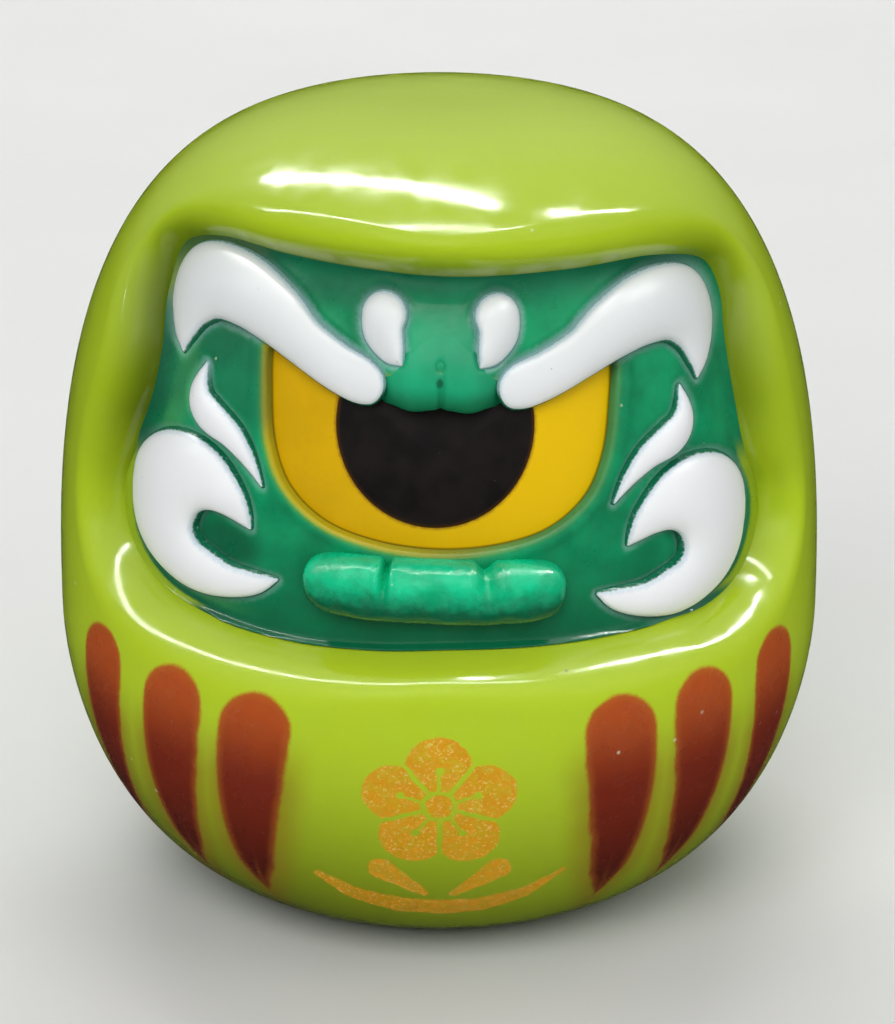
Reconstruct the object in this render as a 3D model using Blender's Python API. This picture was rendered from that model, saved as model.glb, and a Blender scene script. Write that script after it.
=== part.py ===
"""Daruma doll with one eye, in soft vinyl: a weighted round body whose hood overhangs a sunken face.

Frame: metres, +Z up, the face looks along -Y, the origin is the middle of the flat sole.
Each sub-part is its own object. The body, the face and the eye are lofts: they share one set of
columns, which run round the middle of the face, so neighbours meet with even gaps.
"""
import math

import bmesh
import bpy
from mathutils import Vector

MM = 0.001

# Body of revolution: two superellipse quarters that meet at the widest level.
BODY_RADIUS = 33.0 * MM
BODY_HEIGHT = 69.0 * MM
WIDEST_LEVEL = 25.0 * MM
UNCUT_BOTTOM = -0.95 * MM
CROWN_EXPONENTS = (2.5, 3.2)
BASE_EXPONENTS = (1.8, 3.6)
CORE = Vector((0.0, 0.0, 40.0 * MM))
WALL = 2.2 * MM
GAP = 0.3 * MM

# Face recess, plate and the seat that the plate drops on.
FACE_MIDDLE = (0.0, 46.0 * MM)
FACE_ROLL = math.radians(2.0)
FACE_DEPTH = 5.0 * MM
FACE_FLATNESS = 1.05
PLATE_THICKNESS = 2.2 * MM
EYE_RIM_THICKNESS = 1.0 * MM
SEAT_WIDTH = 2.0 * MM
SEAT_THICKNESS = 1.6 * MM
ROLL_WIDTH_SIDE = 3.6 * MM
ROLL_WIDTH_TOP = 1.6 * MM
ROLL_WIDTH_BOTTOM = 1.2 * MM
ROLL_SMOOTHING = 3
ROLL_HANDLE_OUT = 0.42
ROLL_HANDLE_IN = 0.55
INNER_SETBACK = 4.8 * MM

# Eye insert and pupil.
EYE_THICKNESS = 2.4 * MM
EYE_BULGE = 0.7 * MM
PUPIL_MIDDLE = (-0.3 * MM, 48.5 * MM)
PUPIL_RADIUS = 8.0 * MM
PUPIL_TOP = 53.4 * MM
PUPIL_THICKNESS = 0.9 * MM
PUPIL_PROUD = 0.05 * MM
PUPIL_SAMPLES = 180

# Raised marks.
BROW_HEIGHT = 2.2 * MM
DROP_HEIGHT = 1.3 * MM
FLAME_HEIGHT = 1.4 * MM
SWIRL_HEIGHT = 2.0 * MM
NOSE_HEIGHT = 3.0 * MM
NOSE_TOP_SHARE = 0.35
NOSE_MIDDLE_LEVEL = 52.6 * MM
NOSE_TOP_LEVEL = 57.4 * MM
NOSE_RISE = 5.0 * MM
NOSE_NOTCH = 1.2 * MM
NOSE_NOTCH_WIDTH = 0.6 * MM
NOSE_RING_SHARES = (0.25, 0.5, 0.75, 0.92, 1.0)
MOUTH_HEIGHT = 2.8 * MM
MOUTH_LEVEL = 35.75 * MM
MOUTH_HALF_LENGTH = 10.4 * MM
MOUTH_HALF_WIDTH = 2.4 * MM
MOUTH_NICK_AT = 3.9 * MM
MOUTH_NICK_WIDTH = 0.5 * MM
MOUTH_NICK_DEPTH = 0.9 * MM
MOUTH_NICK_DENT = 0.25
MOUTH_END_EXPONENTS = (7, 2.6)
MOUTH_STATIONS = 36
MOUTH_POINTS = 9
MARK_EDGE = 0.35 * MM
BLUNT_HALF_WIDTH = 0.5 * MM
END_REACHES = (0.45, 0.8, 0.97)

# Sole, plug and ballast.
SOLE_HOLE_RADIUS = 11.8 * MM
SOLE_CUTTER_DEPTH = 8.0 * MM
PLUG_RADIUS = 11.5 * MM
PLUG_LIP_RADIUS = 13.4 * MM
PLUG_LIP_BOTTOM = 2.6 * MM
PLUG_LIP_TOP = 4.0 * MM
PLUG_LIP_CHAMFER = 0.5 * MM
CUP_OUTER_RADIUS = 11.2 * MM
CUP_INNER_RADIUS = 10.0 * MM
CUP_TOP = 12.5 * MM
BALLAST_RADIUS = 9.7 * MM
BALLAST_BOTTOM = 4.3 * MM
BALLAST_TOP = 12.3 * MM
BALLAST_BEVEL = 0.6 * MM

# Mesh density.
COLUMNS = 60
BACK_RINGS = 18
ROLL_RINGS = 6
INNER_RINGS = 12
PLATE_RINGS = 6
EYE_RINGS = 4
OUTLINE_STEPS = 12
STROKE_STEPS = 3
STROKE_POINTS = 7
TURNED_STEPS = 48

# Outlines on the face, as (x, z) in millimetres.
OPENING = (
    (1.0, 30.8), (9.0, 30.7), (17.0, 30.7), (21.5, 30.7), (24.8, 32.1), (26.3, 35.0), (26.3, 38.3),
    (25.0, 42.2), (24.1, 46.5), (23.3, 51.0), (22.8, 54.8), (21.0, 57.5), (16.5, 59.0), (10.0, 59.3),
    (1.0, 59.4), (-6.0, 59.8), (-12.5, 60.1), (-17.3, 60.1), (-20.6, 58.6), (-22.0, 55.2),
    (-22.4, 51.0), (-23.3, 47.0), (-24.7, 43.0), (-25.8, 39.0), (-25.5, 35.1), (-22.8, 32.3),
    (-18.0, 31.1), (-12.0, 30.6), (-5.0, 30.6),
)
EYE_HOLE_HALF = (
    (0.0, 38.5), (5.0, 38.9), (9.3, 40.1), (12.3, 42.5), (13.7, 45.8), (14.1, 50.0), (14.0, 53.6),
    (12.8, 55.0), (9.5, 53.7), (5.5, 52.0), (0.0, 52.0),
)
EYE_HALF = (
    (0.0, 36.7), (8.0, 37.6), (13.4, 41.0), (15.7, 46.5), (15.7, 52.6), (13.4, 55.4), (6.0, 55.6),
    (0.0, 55.6),
)
NOSE_HALF = (
    (0.0, 50.8), (1.8, 50.2), (3.2, 50.6), (3.2, 51.6), (2.0, 52.8), (1.6, 54.6), (1.5, 56.4),
    (0.0, 57.4),
)

# Brush strokes on the face's right half, as (x, z, half width) in millimetres.
BROW = (
    (20.75, 49.92, 0.12), (20.75, 51.45, 0.85), (20.07, 53.93, 1.75), (18.4, 55.8, 2.45),
    (15.75, 56.1, 2.65), (13.15, 55.2, 2.4), (10.9, 53.8, 1.95), (8.27, 52.5, 1.85), (6.4, 51.8, 1.8),
    (5.6, 51.5, 1.55),
)
DROP = (
    (4.45, 56.7, 1.8), (4.55, 55.65, 1.6), (3.9, 54.13, 1.0), (3.13, 52.95, 0.12),
)
FLAME = (
    (19.0, 49.94, 0.12), (19.25, 48.73, 0.5), (19.23, 47.32, 0.95), (18.43, 46.25, 1.42),
    (16.57, 45.25, 1.1), (15.08, 43.7, 0.65), (13.92, 41.83, 0.12),
)
SWIRL = (
    (15.28, 38.6, 0.2), (16.03, 39.63, 0.85), (17.2, 40.8, 1.6), (19.13, 41.82, 2.53), (20.73, 41.7, 3.0),
    (21.93, 40.32, 3.05), (22.43, 38.32, 2.78), (22.35, 36.3, 2.65), (21.57, 35.0, 2.3),
    (19.67, 34.17, 2.15), (17.22, 33.8, 1.5), (14.83, 34.1, 0.95), (12.97, 34.77, 0.15),
)

# How far each mark sits outward and upward of its stroke, in millimetres, and its outer end's tilt up
# in degrees: first the left one, then the right one. The face is modelled by hand, so the two differ.
BROW_PLACES = ((0.2, 0.4, 2.7), (0.3, 0.1, 0.3))
DROP_PLACES = ((0.05, -0.13, -4.5), (-0.25, -0.05, -0.3))
FLAME_PLACES = ((0.1, 0.5, 1.8), (0.4, 0.0, -0.8))
SWIRL_PLACES = ((-0.2, 0.0, 0.0), (0.35, -0.4, -1.5))

# Colours as linear RGB.
LIME = (0.33, 0.56, 0.05)
EMERALD = (0.01, 0.24, 0.10)
MOUTH_GREEN = (0.01, 0.42, 0.18)
WHITE = (0.80, 0.82, 0.84)
YELLOW = (0.66, 0.42, 0.0)
BLACK = (0.010, 0.008, 0.008)
STEEL = (0.45, 0.45, 0.47)


def clear_scene():
    for old in list(bpy.data.objects):
        bpy.data.objects.remove(old, do_unlink=True)


def finish(name, colour, roughness, metallic=0.0):
    """Return a plain Principled material."""
    material = bpy.data.materials.new(name)
    material.use_nodes = True
    shader = material.node_tree.nodes["Principled BSDF"]
    shader.inputs["Base Color"].default_value = (*colour, 1.0)
    shader.inputs["Roughness"].default_value = roughness
    shader.inputs["Metallic"].default_value = metallic
    return material


def add_object(name, bm, material, sharp_degrees=40.0):
    """Turn a bmesh into a smooth-shaded object with its faces pointing out."""
    bmesh.ops.recalc_face_normals(bm, faces=bm.faces)
    mesh = bpy.data.meshes.new(name)
    bm.to_mesh(mesh)
    bm.free()
    mesh.materials.append(material)
    mesh.shade_smooth()
    mesh.set_sharp_from_angle(angle=math.radians(sharp_degrees))
    part = bpy.data.objects.new(name, mesh)
    bpy.context.collection.objects.link(part)
    return part


def loft(rings, looped=False):
    """Skin closed rings of points. A looped loft joins its last ring to its first, others are capped."""
    bm = bmesh.new()
    loops = [[bm.verts.new(point) for point in ring] for ring in rings]
    pairs = list(zip(loops, loops[1:]))
    if looped:
        pairs.append((loops[-1], loops[0]))
    for lower, upper in pairs:
        count = len(lower)
        for i in range(count):
            j = (i + 1) % count
            bm.faces.new((lower[i], lower[j], upper[j], upper[i]))
    if not looped:
        for ring in (loops[0], loops[-1]):
            cap = bm.faces.new(ring)
            bmesh.ops.poke(bm, faces=[cap])
    return bm


def turned(profile):
    """Spin an (radius, z) profile, which starts and ends on the axis, once round Z."""
    bm = bmesh.new()
    verts = [bm.verts.new((radius, 0.0, z)) for radius, z in profile]
    edges = [bm.edges.new(pair) for pair in zip(verts, verts[1:])]
    bmesh.ops.spin(bm, geom=verts + edges, cent=(0, 0, 0), axis=(0, 0, 1), angle=math.tau,
                   steps=TURNED_STEPS, use_merge=True, use_duplicate=False)
    bmesh.ops.remove_doubles(bm, verts=bm.verts, dist=0.01 * MM)
    return bm


# ---------------------------------------------------------------- curves and surfaces


def spline(points, steps, closed):
    """Sample a Catmull-Rom curve through points of any dimension."""
    count = len(points)
    spans = count if closed else count - 1
    samples = []
    for i in range(spans):
        if closed:
            p0, p1, p2, p3 = (points[(i + k) % count] for k in (-1, 0, 1, 2))
        else:
            p0, p1, p2, p3 = (points[min(max(i + k, 0), count - 1)] for k in (-1, 0, 1, 2))
        for step in range(steps):
            t = step / steps
            weights = (
                (-t + 2 * t * t - t ** 3) / 2,
                (2 - 5 * t * t + 3 * t ** 3) / 2,
                (t + 4 * t * t - 3 * t ** 3) / 2,
                (-t * t + t ** 3) / 2,
            )
            samples.append(tuple(sum(w * p[axis] for w, p in zip(weights, (p0, p1, p2, p3)))
                                 for axis in range(len(p1))))
    if not closed:
        samples.append(tuple(points[-1]))
    return samples


def mirrored(half):
    """Complete a half outline, whose first and last points lie on x = 0."""
    return list(half) + [(-x, z) for x, z in reversed(half[1:-1])]


def rolled(x, z):
    """Turn a point on the face about the face's middle, so that the face's right side hangs lower."""
    dx = x - FACE_MIDDLE[0]
    dz = z - FACE_MIDDLE[1]
    cosine = math.cos(FACE_ROLL)
    sine = math.sin(FACE_ROLL)
    return FACE_MIDDLE[0] + cosine * dx + sine * dz, FACE_MIDDLE[1] - sine * dx + cosine * dz


def metres(points):
    return [tuple(value * MM for value in point) for point in points]


def polar_radii(outline):
    """Distance from the face's middle to a closed outline, along each column's angle."""
    middle_x, middle_z = FACE_MIDDLE
    polar = sorted((math.atan2(z - middle_z, x - middle_x) % math.tau,
                    math.hypot(x - middle_x, z - middle_z)) for x, z in outline)
    first_angle, first_radius = polar[0]
    last_angle, last_radius = polar[-1]
    polar.insert(0, (last_angle - math.tau, last_radius))
    polar.append((first_angle + math.tau, first_radius))
    radii = []
    for angle in column_angles():
        for (a0, r0), (a1, r1) in zip(polar, polar[1:]):
            if a0 <= angle <= a1:
                radii.append(r0 + (r1 - r0) * (angle - a0) / max(a1 - a0, 1e-9))
                break
    return radii


def column_angles():
    return [math.tau * (i + 0.5) / COLUMNS for i in range(COLUMNS)]


def body_radius(z):
    """Radius of the body at height z."""
    if z >= WIDEST_LEVEL:
        height = (z - WIDEST_LEVEL) / (BODY_HEIGHT - WIDEST_LEVEL)
        along, across = CROWN_EXPONENTS
    else:
        height = (WIDEST_LEVEL - z) / (WIDEST_LEVEL - UNCUT_BOTTOM)
        along, across = BASE_EXPONENTS
    return BODY_RADIUS * max(1.0 - min(height, 1.0) ** along, 0.0) ** (1.0 / across)


def body_point(direction):
    """Point where a ray from the core leaves the body."""
    near = 0.0
    far = 2.0 * BODY_RADIUS
    for _ in range(40):
        middle = (near + far) / 2
        point = CORE + direction * middle
        inside = UNCUT_BOTTOM < point.z < BODY_HEIGHT and point.xy.length < body_radius(point.z)
        if inside:
            near = middle
        else:
            far = middle
    return CORE + direction * near


def body_normal(point):
    """Outward direction of the body's surface at a point."""
    step = 0.05 * MM
    slope = (body_radius(point.z + step) - body_radius(point.z - step)) / (2 * step)
    outward = point.xy.normalized()
    return Vector((outward.x, outward.y, -slope)).normalized()


def face_surface(x, z, behind=0.0):
    """Point of the face's surface, which is a little flatter than the body round it."""
    core_radius = body_radius(z) - FACE_DEPTH
    bend = FACE_FLATNESS * core_radius
    y = (FACE_FLATNESS - 1.0) * core_radius - math.sqrt(max(bend * bend - x * x, 0.0))
    surface = Vector((x, y, z))
    return surface + (CORE - surface).normalized() * behind


def face_ring(radii, behind=0.0):
    """Ring of points on the face at the given distance from its middle on each column."""
    middle_x, middle_z = FACE_MIDDLE
    return [face_surface(middle_x + radius * math.cos(angle), middle_z + radius * math.sin(angle), behind)
            for radius, angle in zip(radii, column_angles())]


def blend(first, second, share):
    return [a + (b - a) * share for a, b in zip(first, second)]


def grown(radii, amount):
    return [radius + amount for radius in radii]


def shrunk(radii, share):
    return [radius * share for radius in radii]


def opening_radii():
    return polar_radii(spline(metres(OPENING), OUTLINE_STEPS, True))


def opening_frames():
    """Crease point, inward direction and sideways direction of each column at the face opening."""
    creases = face_ring(opening_radii())
    frames = []
    for i, crease in enumerate(creases):
        tangent = creases[(i + 1) % COLUMNS] - creases[i - 1]
        inward = (CORE - crease).normalized()
        sideways = inward.cross(tangent).normalized()
        if sideways.dot(crease - face_surface(*FACE_MIDDLE)) < 0.0:
            sideways.negate()
        frames.append((crease, inward, sideways))
    return frames


# ---------------------------------------------------------------- body


def roll_starts(frames):
    """Points of the body's outer surface where it starts to roll into the face opening."""
    starts = []
    for (crease, _, sideways), angle in zip(frames, column_angles()):
        upright = math.sin(angle)
        end_width = ROLL_WIDTH_TOP if upright > 0.0 else ROLL_WIDTH_BOTTOM
        width = ROLL_WIDTH_SIDE * abs(math.cos(angle)) ** 1.5 + end_width * abs(upright) ** 1.5
        starts.append(crease + sideways * width)
    for _ in range(ROLL_SMOOTHING):
        starts = [(starts[i - 1] + point * 2.0 + starts[(i + 1) % COLUMNS]) / 4.0
                  for i, point in enumerate(starts)]
    return [body_point((point - CORE).normalized()) for point in starts]


def roll_column(frame, start):
    """Bezier run from the outer surface down to the crease."""
    crease, inward, _ = frame
    normal = body_normal(start)
    across = crease - start
    along = (across - normal * across.dot(normal)).normalized()
    handle_out = start + along * across.length * ROLL_HANDLE_OUT
    handle_in = crease - inward * across.length * ROLL_HANDLE_IN
    column = []
    for step in range(ROLL_RINGS + 1):
        t = step / ROLL_RINGS
        s = 1.0 - t
        column.append(start * s ** 3 + 3 * s * t * (handle_out * s + handle_in * t) + crease * t ** 3)
    return column


def sweep_column(start, rings, inset):
    """Run over the body from near the back pole to the start point, set in by the wall where asked."""
    first = (start - CORE).normalized()
    pole = Vector((0.0, 1.0, 0.0))
    column = []
    for step in range(rings):
        share = 1.0 - (step + 1) / (rings + 1)
        point = body_point(first.slerp(pole, share))
        column.append(point - body_normal(point) * inset)
    return column


def seat_rings(frames):
    """Wall below the crease, the ledge that carries the face plate, and the ledge's back."""
    depth = PLATE_THICKNESS + 2 * GAP
    back = depth + SEAT_THICKNESS
    opening = opening_radii()
    ledge = grown(opening, -SEAT_WIDTH)
    return [
        face_ring(opening, depth),
        face_ring(ledge, depth),
        face_ring(ledge, back),
        [crease + inward * back + sideways * WALL * 0.5 for crease, inward, sideways in frames],
    ]


def inner_start(frame, start):
    """Place on the body under which the ledge's back meets the inner wall."""
    _, _, sideways = frame
    return body_point((start + sideways * INNER_SETBACK - CORE).normalized())


def make_body_shell():
    frames = opening_frames()
    outside = []
    inside = []
    for frame, start in zip(frames, roll_starts(frames)):
        outside.append(sweep_column(start, BACK_RINGS, 0.0) + roll_column(frame, start))
        inside.append(sweep_column(inner_start(frame, start), INNER_RINGS, WALL)[::-1])
    rings = list(zip(*outside)) + seat_rings(frames) + list(zip(*inside))
    shell = add_object("body_shell", loft(rings), finish("lime_vinyl", LIME, 0.25))
    cut(shell, sole_cutter())
    cut(shell, hole_cutter())
    return shell


def cut(part, cutter):
    boolean = part.modifiers.new(cutter.name, "BOOLEAN")
    boolean.object = cutter
    boolean.operation = "DIFFERENCE"
    boolean.solver = "EXACT"


def hide_cutter(cutter):
    cutter.hide_render = True
    cutter.display_type = "WIRE"
    return cutter


def sole_cutter():
    """Box below the floor plane, which flattens the sole."""
    bm = bmesh.new()
    bmesh.ops.create_cube(bm, size=2 * BODY_RADIUS)
    bmesh.ops.translate(bm, verts=bm.verts, vec=(0.0, 0.0, -BODY_RADIUS))
    return hide_cutter(add_object("sole_cutter", bm, finish("cutter_grey", STEEL, 0.5)))


def hole_cutter():
    """Drum that opens the sole for the plug."""
    bm = bmesh.new()
    bmesh.ops.create_cone(bm, cap_ends=True, segments=TURNED_STEPS, radius1=SOLE_HOLE_RADIUS,
                          radius2=SOLE_HOLE_RADIUS, depth=SOLE_CUTTER_DEPTH)
    return hide_cutter(add_object("hole_cutter", bm, finish("hole_grey", STEEL, 0.5)))


# ---------------------------------------------------------------- face and eye


def rolled_radii(half_outline):
    outline = spline(metres(mirrored(half_outline)), OUTLINE_STEPS, True)
    return polar_radii([rolled(x, z) for x, z in outline])


def eye_hole_radii():
    return rolled_radii(EYE_HOLE_HALF)


def eye_radii():
    return rolled_radii(EYE_HALF)


def pupil_radii():
    """Circle round the pupil's middle, cut straight at the top, where the face hides it."""
    middle_x, middle_z = PUPIL_MIDDLE
    outline = []
    for i in range(PUPIL_SAMPLES):
        angle = math.tau * i / PUPIL_SAMPLES
        z = min(middle_z + PUPIL_RADIUS * math.sin(angle), PUPIL_TOP)
        outline.append((middle_x + PUPIL_RADIUS * math.cos(angle), z))
    return polar_radii(outline)


def make_face_plate():
    hole = eye_hole_radii()
    pocket = grown(eye_radii(), GAP)
    rim = grown(opening_radii(), -GAP)
    front = [face_ring(blend(hole, rim, step / PLATE_RINGS)) for step in range(PLATE_RINGS + 1)]
    back = [
        face_ring(rim, PLATE_THICKNESS),
        face_ring(blend(pocket, rim, 0.5), PLATE_THICKNESS),
        face_ring(pocket, PLATE_THICKNESS),
        face_ring(pocket, EYE_RIM_THICKNESS),
        face_ring(hole, EYE_RIM_THICKNESS),
    ]
    return add_object("face_plate", loft(front + back, looped=True), finish("emerald_paint", EMERALD, 0.4))


def eye_ring(radii, hole, behind):
    """Ring on the domed eye, which bulges forward through the eye hole."""
    middle_x, middle_z = FACE_MIDDLE
    ring = []
    for radius, limit, angle in zip(radii, hole, column_angles()):
        bulge = EYE_BULGE * max(1.0 - (radius / limit) ** 2, 0.0)
        depth = EYE_RIM_THICKNESS + GAP - bulge + behind
        x = middle_x + radius * math.cos(angle)
        z = middle_z + radius * math.sin(angle)
        ring.append(face_surface(x, z, depth))
    return ring


def make_eye():
    hole = eye_hole_radii()
    edge = eye_radii()
    pupil = pupil_radii()
    pocket = grown(pupil, GAP)
    pocket_depth = PUPIL_THICKNESS - PUPIL_PROUD + GAP
    rings = [eye_ring(shrunk(pocket, share), hole, pocket_depth) for share in (0.4, 1.0)]
    rim = [max(pair) for pair in zip(hole, grown(pocket, GAP))]
    rings += [eye_ring(blend(pocket, rim, step / EYE_RINGS), hole, 0.0) for step in range(EYE_RINGS + 1)]
    rings.append(eye_ring(edge, hole, 0.0))
    rings += [eye_ring(shrunk(edge, share), hole, EYE_THICKNESS) for share in (1.0, 0.7, 0.35)]
    add_object("eye_iris", loft(rings), finish("yellow_paint", YELLOW, 0.35))

    front = -PUPIL_PROUD
    back = PUPIL_THICKNESS - PUPIL_PROUD
    rings = [eye_ring(shrunk(pupil, share), hole, front) for share in (0.35, 0.7, 1.0)]
    rings += [eye_ring(shrunk(pupil, share), hole, back) for share in (1.0, 0.5)]
    add_object("eye_pupil", loft(rings), finish("black_paint", BLACK, 0.3))


# ---------------------------------------------------------------- raised marks


def on_face(x, z, side, out):
    """Point above the face at a mark's own x and z, on the given side of the face."""
    rolled_x, rolled_z = rolled(side * x, z)
    return face_surface(rolled_x, rolled_z, -out)


def placed(stations, outward, upward, tilt):
    """Move a stroke and turn it about the mean of its stations, so that its outer end tilts up."""
    middle_x = sum(x for x, _, _ in stations) / len(stations)
    middle_z = sum(z for _, z, _ in stations) / len(stations)
    cosine = math.cos(math.radians(tilt))
    sine = math.sin(math.radians(tilt))
    moved = []
    for x, z, half in stations:
        dx = x - middle_x
        dz = z - middle_z
        turned_x = dx * cosine - dz * sine
        turned_z = dx * sine + dz * cosine
        moved.append((middle_x + turned_x + outward, middle_z + turned_z + upward, half))
    return moved


def rounded_end(end, neighbour):
    """Stations that close a blunt end of a stroke with a half circle, the outermost one last."""
    x, z, half = end
    length = math.hypot(x - neighbour[0], z - neighbour[1])
    along_x = (x - neighbour[0]) / length
    along_z = (z - neighbour[1]) / length
    return [(x + along_x * half * reach, z + along_z * half * reach, half * math.sqrt(1.0 - reach ** 2))
            for reach in END_REACHES]


def stroke(name, stations, height, side, material):
    """Puffy brush stroke along a spine of (x, z, half width) stations."""
    spine = spline(metres(stations), STROKE_STEPS, False)
    if spine[0][2] > BLUNT_HALF_WIDTH:
        spine = rounded_end(spine[0], spine[1])[::-1] + spine
    if spine[-1][2] > BLUNT_HALF_WIDTH:
        spine = spine + rounded_end(spine[-1], spine[-2])
    widest = max(half for _, _, half in spine)
    rings = []
    for i, (x, z, half) in enumerate(spine):
        before = spine[max(i - 1, 0)]
        after = spine[min(i + 1, len(spine) - 1)]
        length = math.hypot(after[0] - before[0], after[1] - before[1])
        across_x = -(after[1] - before[1]) / length
        across_z = (after[0] - before[0]) / length
        crown = (height - MARK_EDGE) * math.sqrt(half / widest)
        ring = []
        for step in range(STROKE_POINTS):
            share = -math.cos(math.pi * step / (STROKE_POINTS - 1))
            out = GAP + MARK_EDGE + crown * math.sqrt(max(1.0 - share * share, 0.0))
            ring.append(on_face(x + across_x * half * share, z + across_z * half * share, side, out))
        for share in (1.0, 0.0, -1.0):
            ring.append(on_face(x + across_x * half * share, z + across_z * half * share, side, GAP))
        rings.append(ring)
    return add_object(name, loft(rings), material)


def make_marks():
    white = finish("white_paint", WHITE, 0.4)
    kinds = (
        ("brow", BROW, BROW_HEIGHT, BROW_PLACES),
        ("forehead_drop", DROP, DROP_HEIGHT, DROP_PLACES),
        ("cheek_flame", FLAME, FLAME_HEIGHT, FLAME_PLACES),
        ("cheek_swirl", SWIRL, SWIRL_HEIGHT, SWIRL_PLACES),
    )
    for kind, stations, height, places in kinds:
        for side, word, place in zip((-1.0, 1.0), ("left", "right"), places):
            stroke(f"{kind}_{word}", placed(stations, *place), height, side, white)


def make_nose_bridge():
    """Bump between the brows, notched into two lobes where it hangs over the eye."""
    outline = spline(metres(mirrored(NOSE_HALF)), 3, True)
    middle_z = NOSE_MIDDLE_LEVEL
    rings = []
    for share in NOSE_RING_SHARES:
        ring = []
        for x, z in outline:
            px = x * share
            pz = middle_z + (z - middle_z) * share
            lower = min(max((NOSE_TOP_LEVEL - pz) / NOSE_RISE, 0.0), 1.0)
            dome = math.sqrt(max(1.0 - share ** 3, 0.0))
            notch = NOSE_NOTCH * math.exp(-(px / NOSE_NOTCH_WIDTH) ** 2) * lower
            height = NOSE_HEIGHT * (NOSE_TOP_SHARE + (1.0 - NOSE_TOP_SHARE) * lower)
            ring.append(on_face(px, pz, 1.0, GAP + MARK_EDGE + (height - notch) * dome))
        rings.append(ring)
    rings.append([on_face(x, z, 1.0, GAP) for x, z in outline])
    inner = NOSE_RING_SHARES[0]
    rings.append([on_face(x * inner, middle_z + (z - middle_z) * inner, 1.0, GAP) for x, z in outline])
    return add_object("nose_bridge", loft(rings), finish("nose_paint", EMERALD, 0.4))


def make_mouth_bar():
    """Fat lip, lofted from end to end, with two nicks in its upper half."""
    along, across = MOUTH_END_EXPONENTS
    rings = []
    for i in range(MOUTH_STATIONS + 1):
        x = MOUTH_HALF_LENGTH * (2 * i / MOUTH_STATIONS - 1)
        reach = min(abs(x) / MOUTH_HALF_LENGTH, 0.998)
        size = (1.0 - reach ** along) ** (1.0 / across)
        nick = math.exp(-((abs(x) - MOUTH_NICK_AT) / MOUTH_NICK_WIDTH) ** 2)
        ring = []
        for step in range(MOUTH_POINTS):
            angle = math.pi * step / (MOUTH_POINTS - 1)
            rise = MOUTH_HALF_WIDTH * size * math.copysign(abs(math.cos(angle)) ** 0.8, math.cos(angle))
            out = MOUTH_HEIGHT * size * math.sin(angle) ** 0.6
            upper = max(math.cos(angle), 0.0)
            ring.append(on_face(x, MOUTH_LEVEL + rise - nick * upper * MOUTH_NICK_DEPTH, 1.0,
                                GAP + MARK_EDGE * size + out * (1.0 - MOUTH_NICK_DENT * nick * upper)))
        for share in (-1.0, 0.0, 1.0):
            top_dip = nick * MOUTH_NICK_DEPTH if share > 0.0 else 0.0
            ring.append(on_face(x, MOUTH_LEVEL + MOUTH_HALF_WIDTH * size * share - top_dip, 1.0, GAP))
        rings.append(ring)
    return add_object("mouth_bar", loft(rings), finish("mouth_paint", MOUTH_GREEN, 0.35))


# ---------------------------------------------------------------- base


def make_base_plug():
    profile = (
        (0.0, 0.0), (PLUG_RADIUS, 0.0), (PLUG_RADIUS, PLUG_LIP_BOTTOM), (PLUG_LIP_RADIUS, PLUG_LIP_BOTTOM),
        (PLUG_LIP_RADIUS, PLUG_LIP_TOP - PLUG_LIP_CHAMFER),
        (PLUG_LIP_RADIUS - PLUG_LIP_CHAMFER, PLUG_LIP_TOP),
        (CUP_OUTER_RADIUS, PLUG_LIP_TOP), (CUP_OUTER_RADIUS, CUP_TOP), (CUP_INNER_RADIUS, CUP_TOP),
        (CUP_INNER_RADIUS, PLUG_LIP_TOP), (0.0, PLUG_LIP_TOP),
    )
    return add_object("base_plug", turned(profile), finish("plug_vinyl", LIME, 0.45))


def make_ballast():
    profile = ((0.0, BALLAST_BOTTOM), (BALLAST_RADIUS, BALLAST_BOTTOM), (BALLAST_RADIUS, BALLAST_TOP),
               (0.0, BALLAST_TOP))
    weight = add_object("ballast_weight", turned(profile), finish("zinc_steel", STEEL, 0.35, 1.0))
    bevel = weight.modifiers.new("edge_break", "BEVEL")
    bevel.width = BALLAST_BEVEL
    bevel.segments = 1
    bevel.limit_method = "ANGLE"
    return weight


def main():
    clear_scene()
    make_body_shell()
    make_face_plate()
    make_eye()
    make_marks()
    make_nose_bridge()
    make_mouth_bar()
    make_base_plug()
    make_ballast()


main()
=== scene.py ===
"""Looks for the daruma doll: dense smooth pieces that repeat the CAD formulas, with painted materials.

Lengths are in millimetres up to the moment a mesh is made, which turns them into metres.
"""
import functools
import math

import bpy
import numpy as np
from mathutils import Matrix, Vector


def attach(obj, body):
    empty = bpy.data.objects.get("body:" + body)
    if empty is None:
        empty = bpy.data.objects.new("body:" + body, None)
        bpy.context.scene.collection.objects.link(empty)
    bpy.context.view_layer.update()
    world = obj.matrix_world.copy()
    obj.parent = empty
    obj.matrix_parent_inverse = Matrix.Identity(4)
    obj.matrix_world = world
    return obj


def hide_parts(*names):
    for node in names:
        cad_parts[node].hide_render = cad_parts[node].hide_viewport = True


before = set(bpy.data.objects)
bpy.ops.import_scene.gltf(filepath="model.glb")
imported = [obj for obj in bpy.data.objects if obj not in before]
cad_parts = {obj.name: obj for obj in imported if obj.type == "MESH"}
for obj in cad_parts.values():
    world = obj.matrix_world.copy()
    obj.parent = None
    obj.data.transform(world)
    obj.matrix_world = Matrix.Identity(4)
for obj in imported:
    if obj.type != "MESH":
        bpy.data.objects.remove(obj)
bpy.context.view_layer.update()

MM = 0.001

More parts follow.
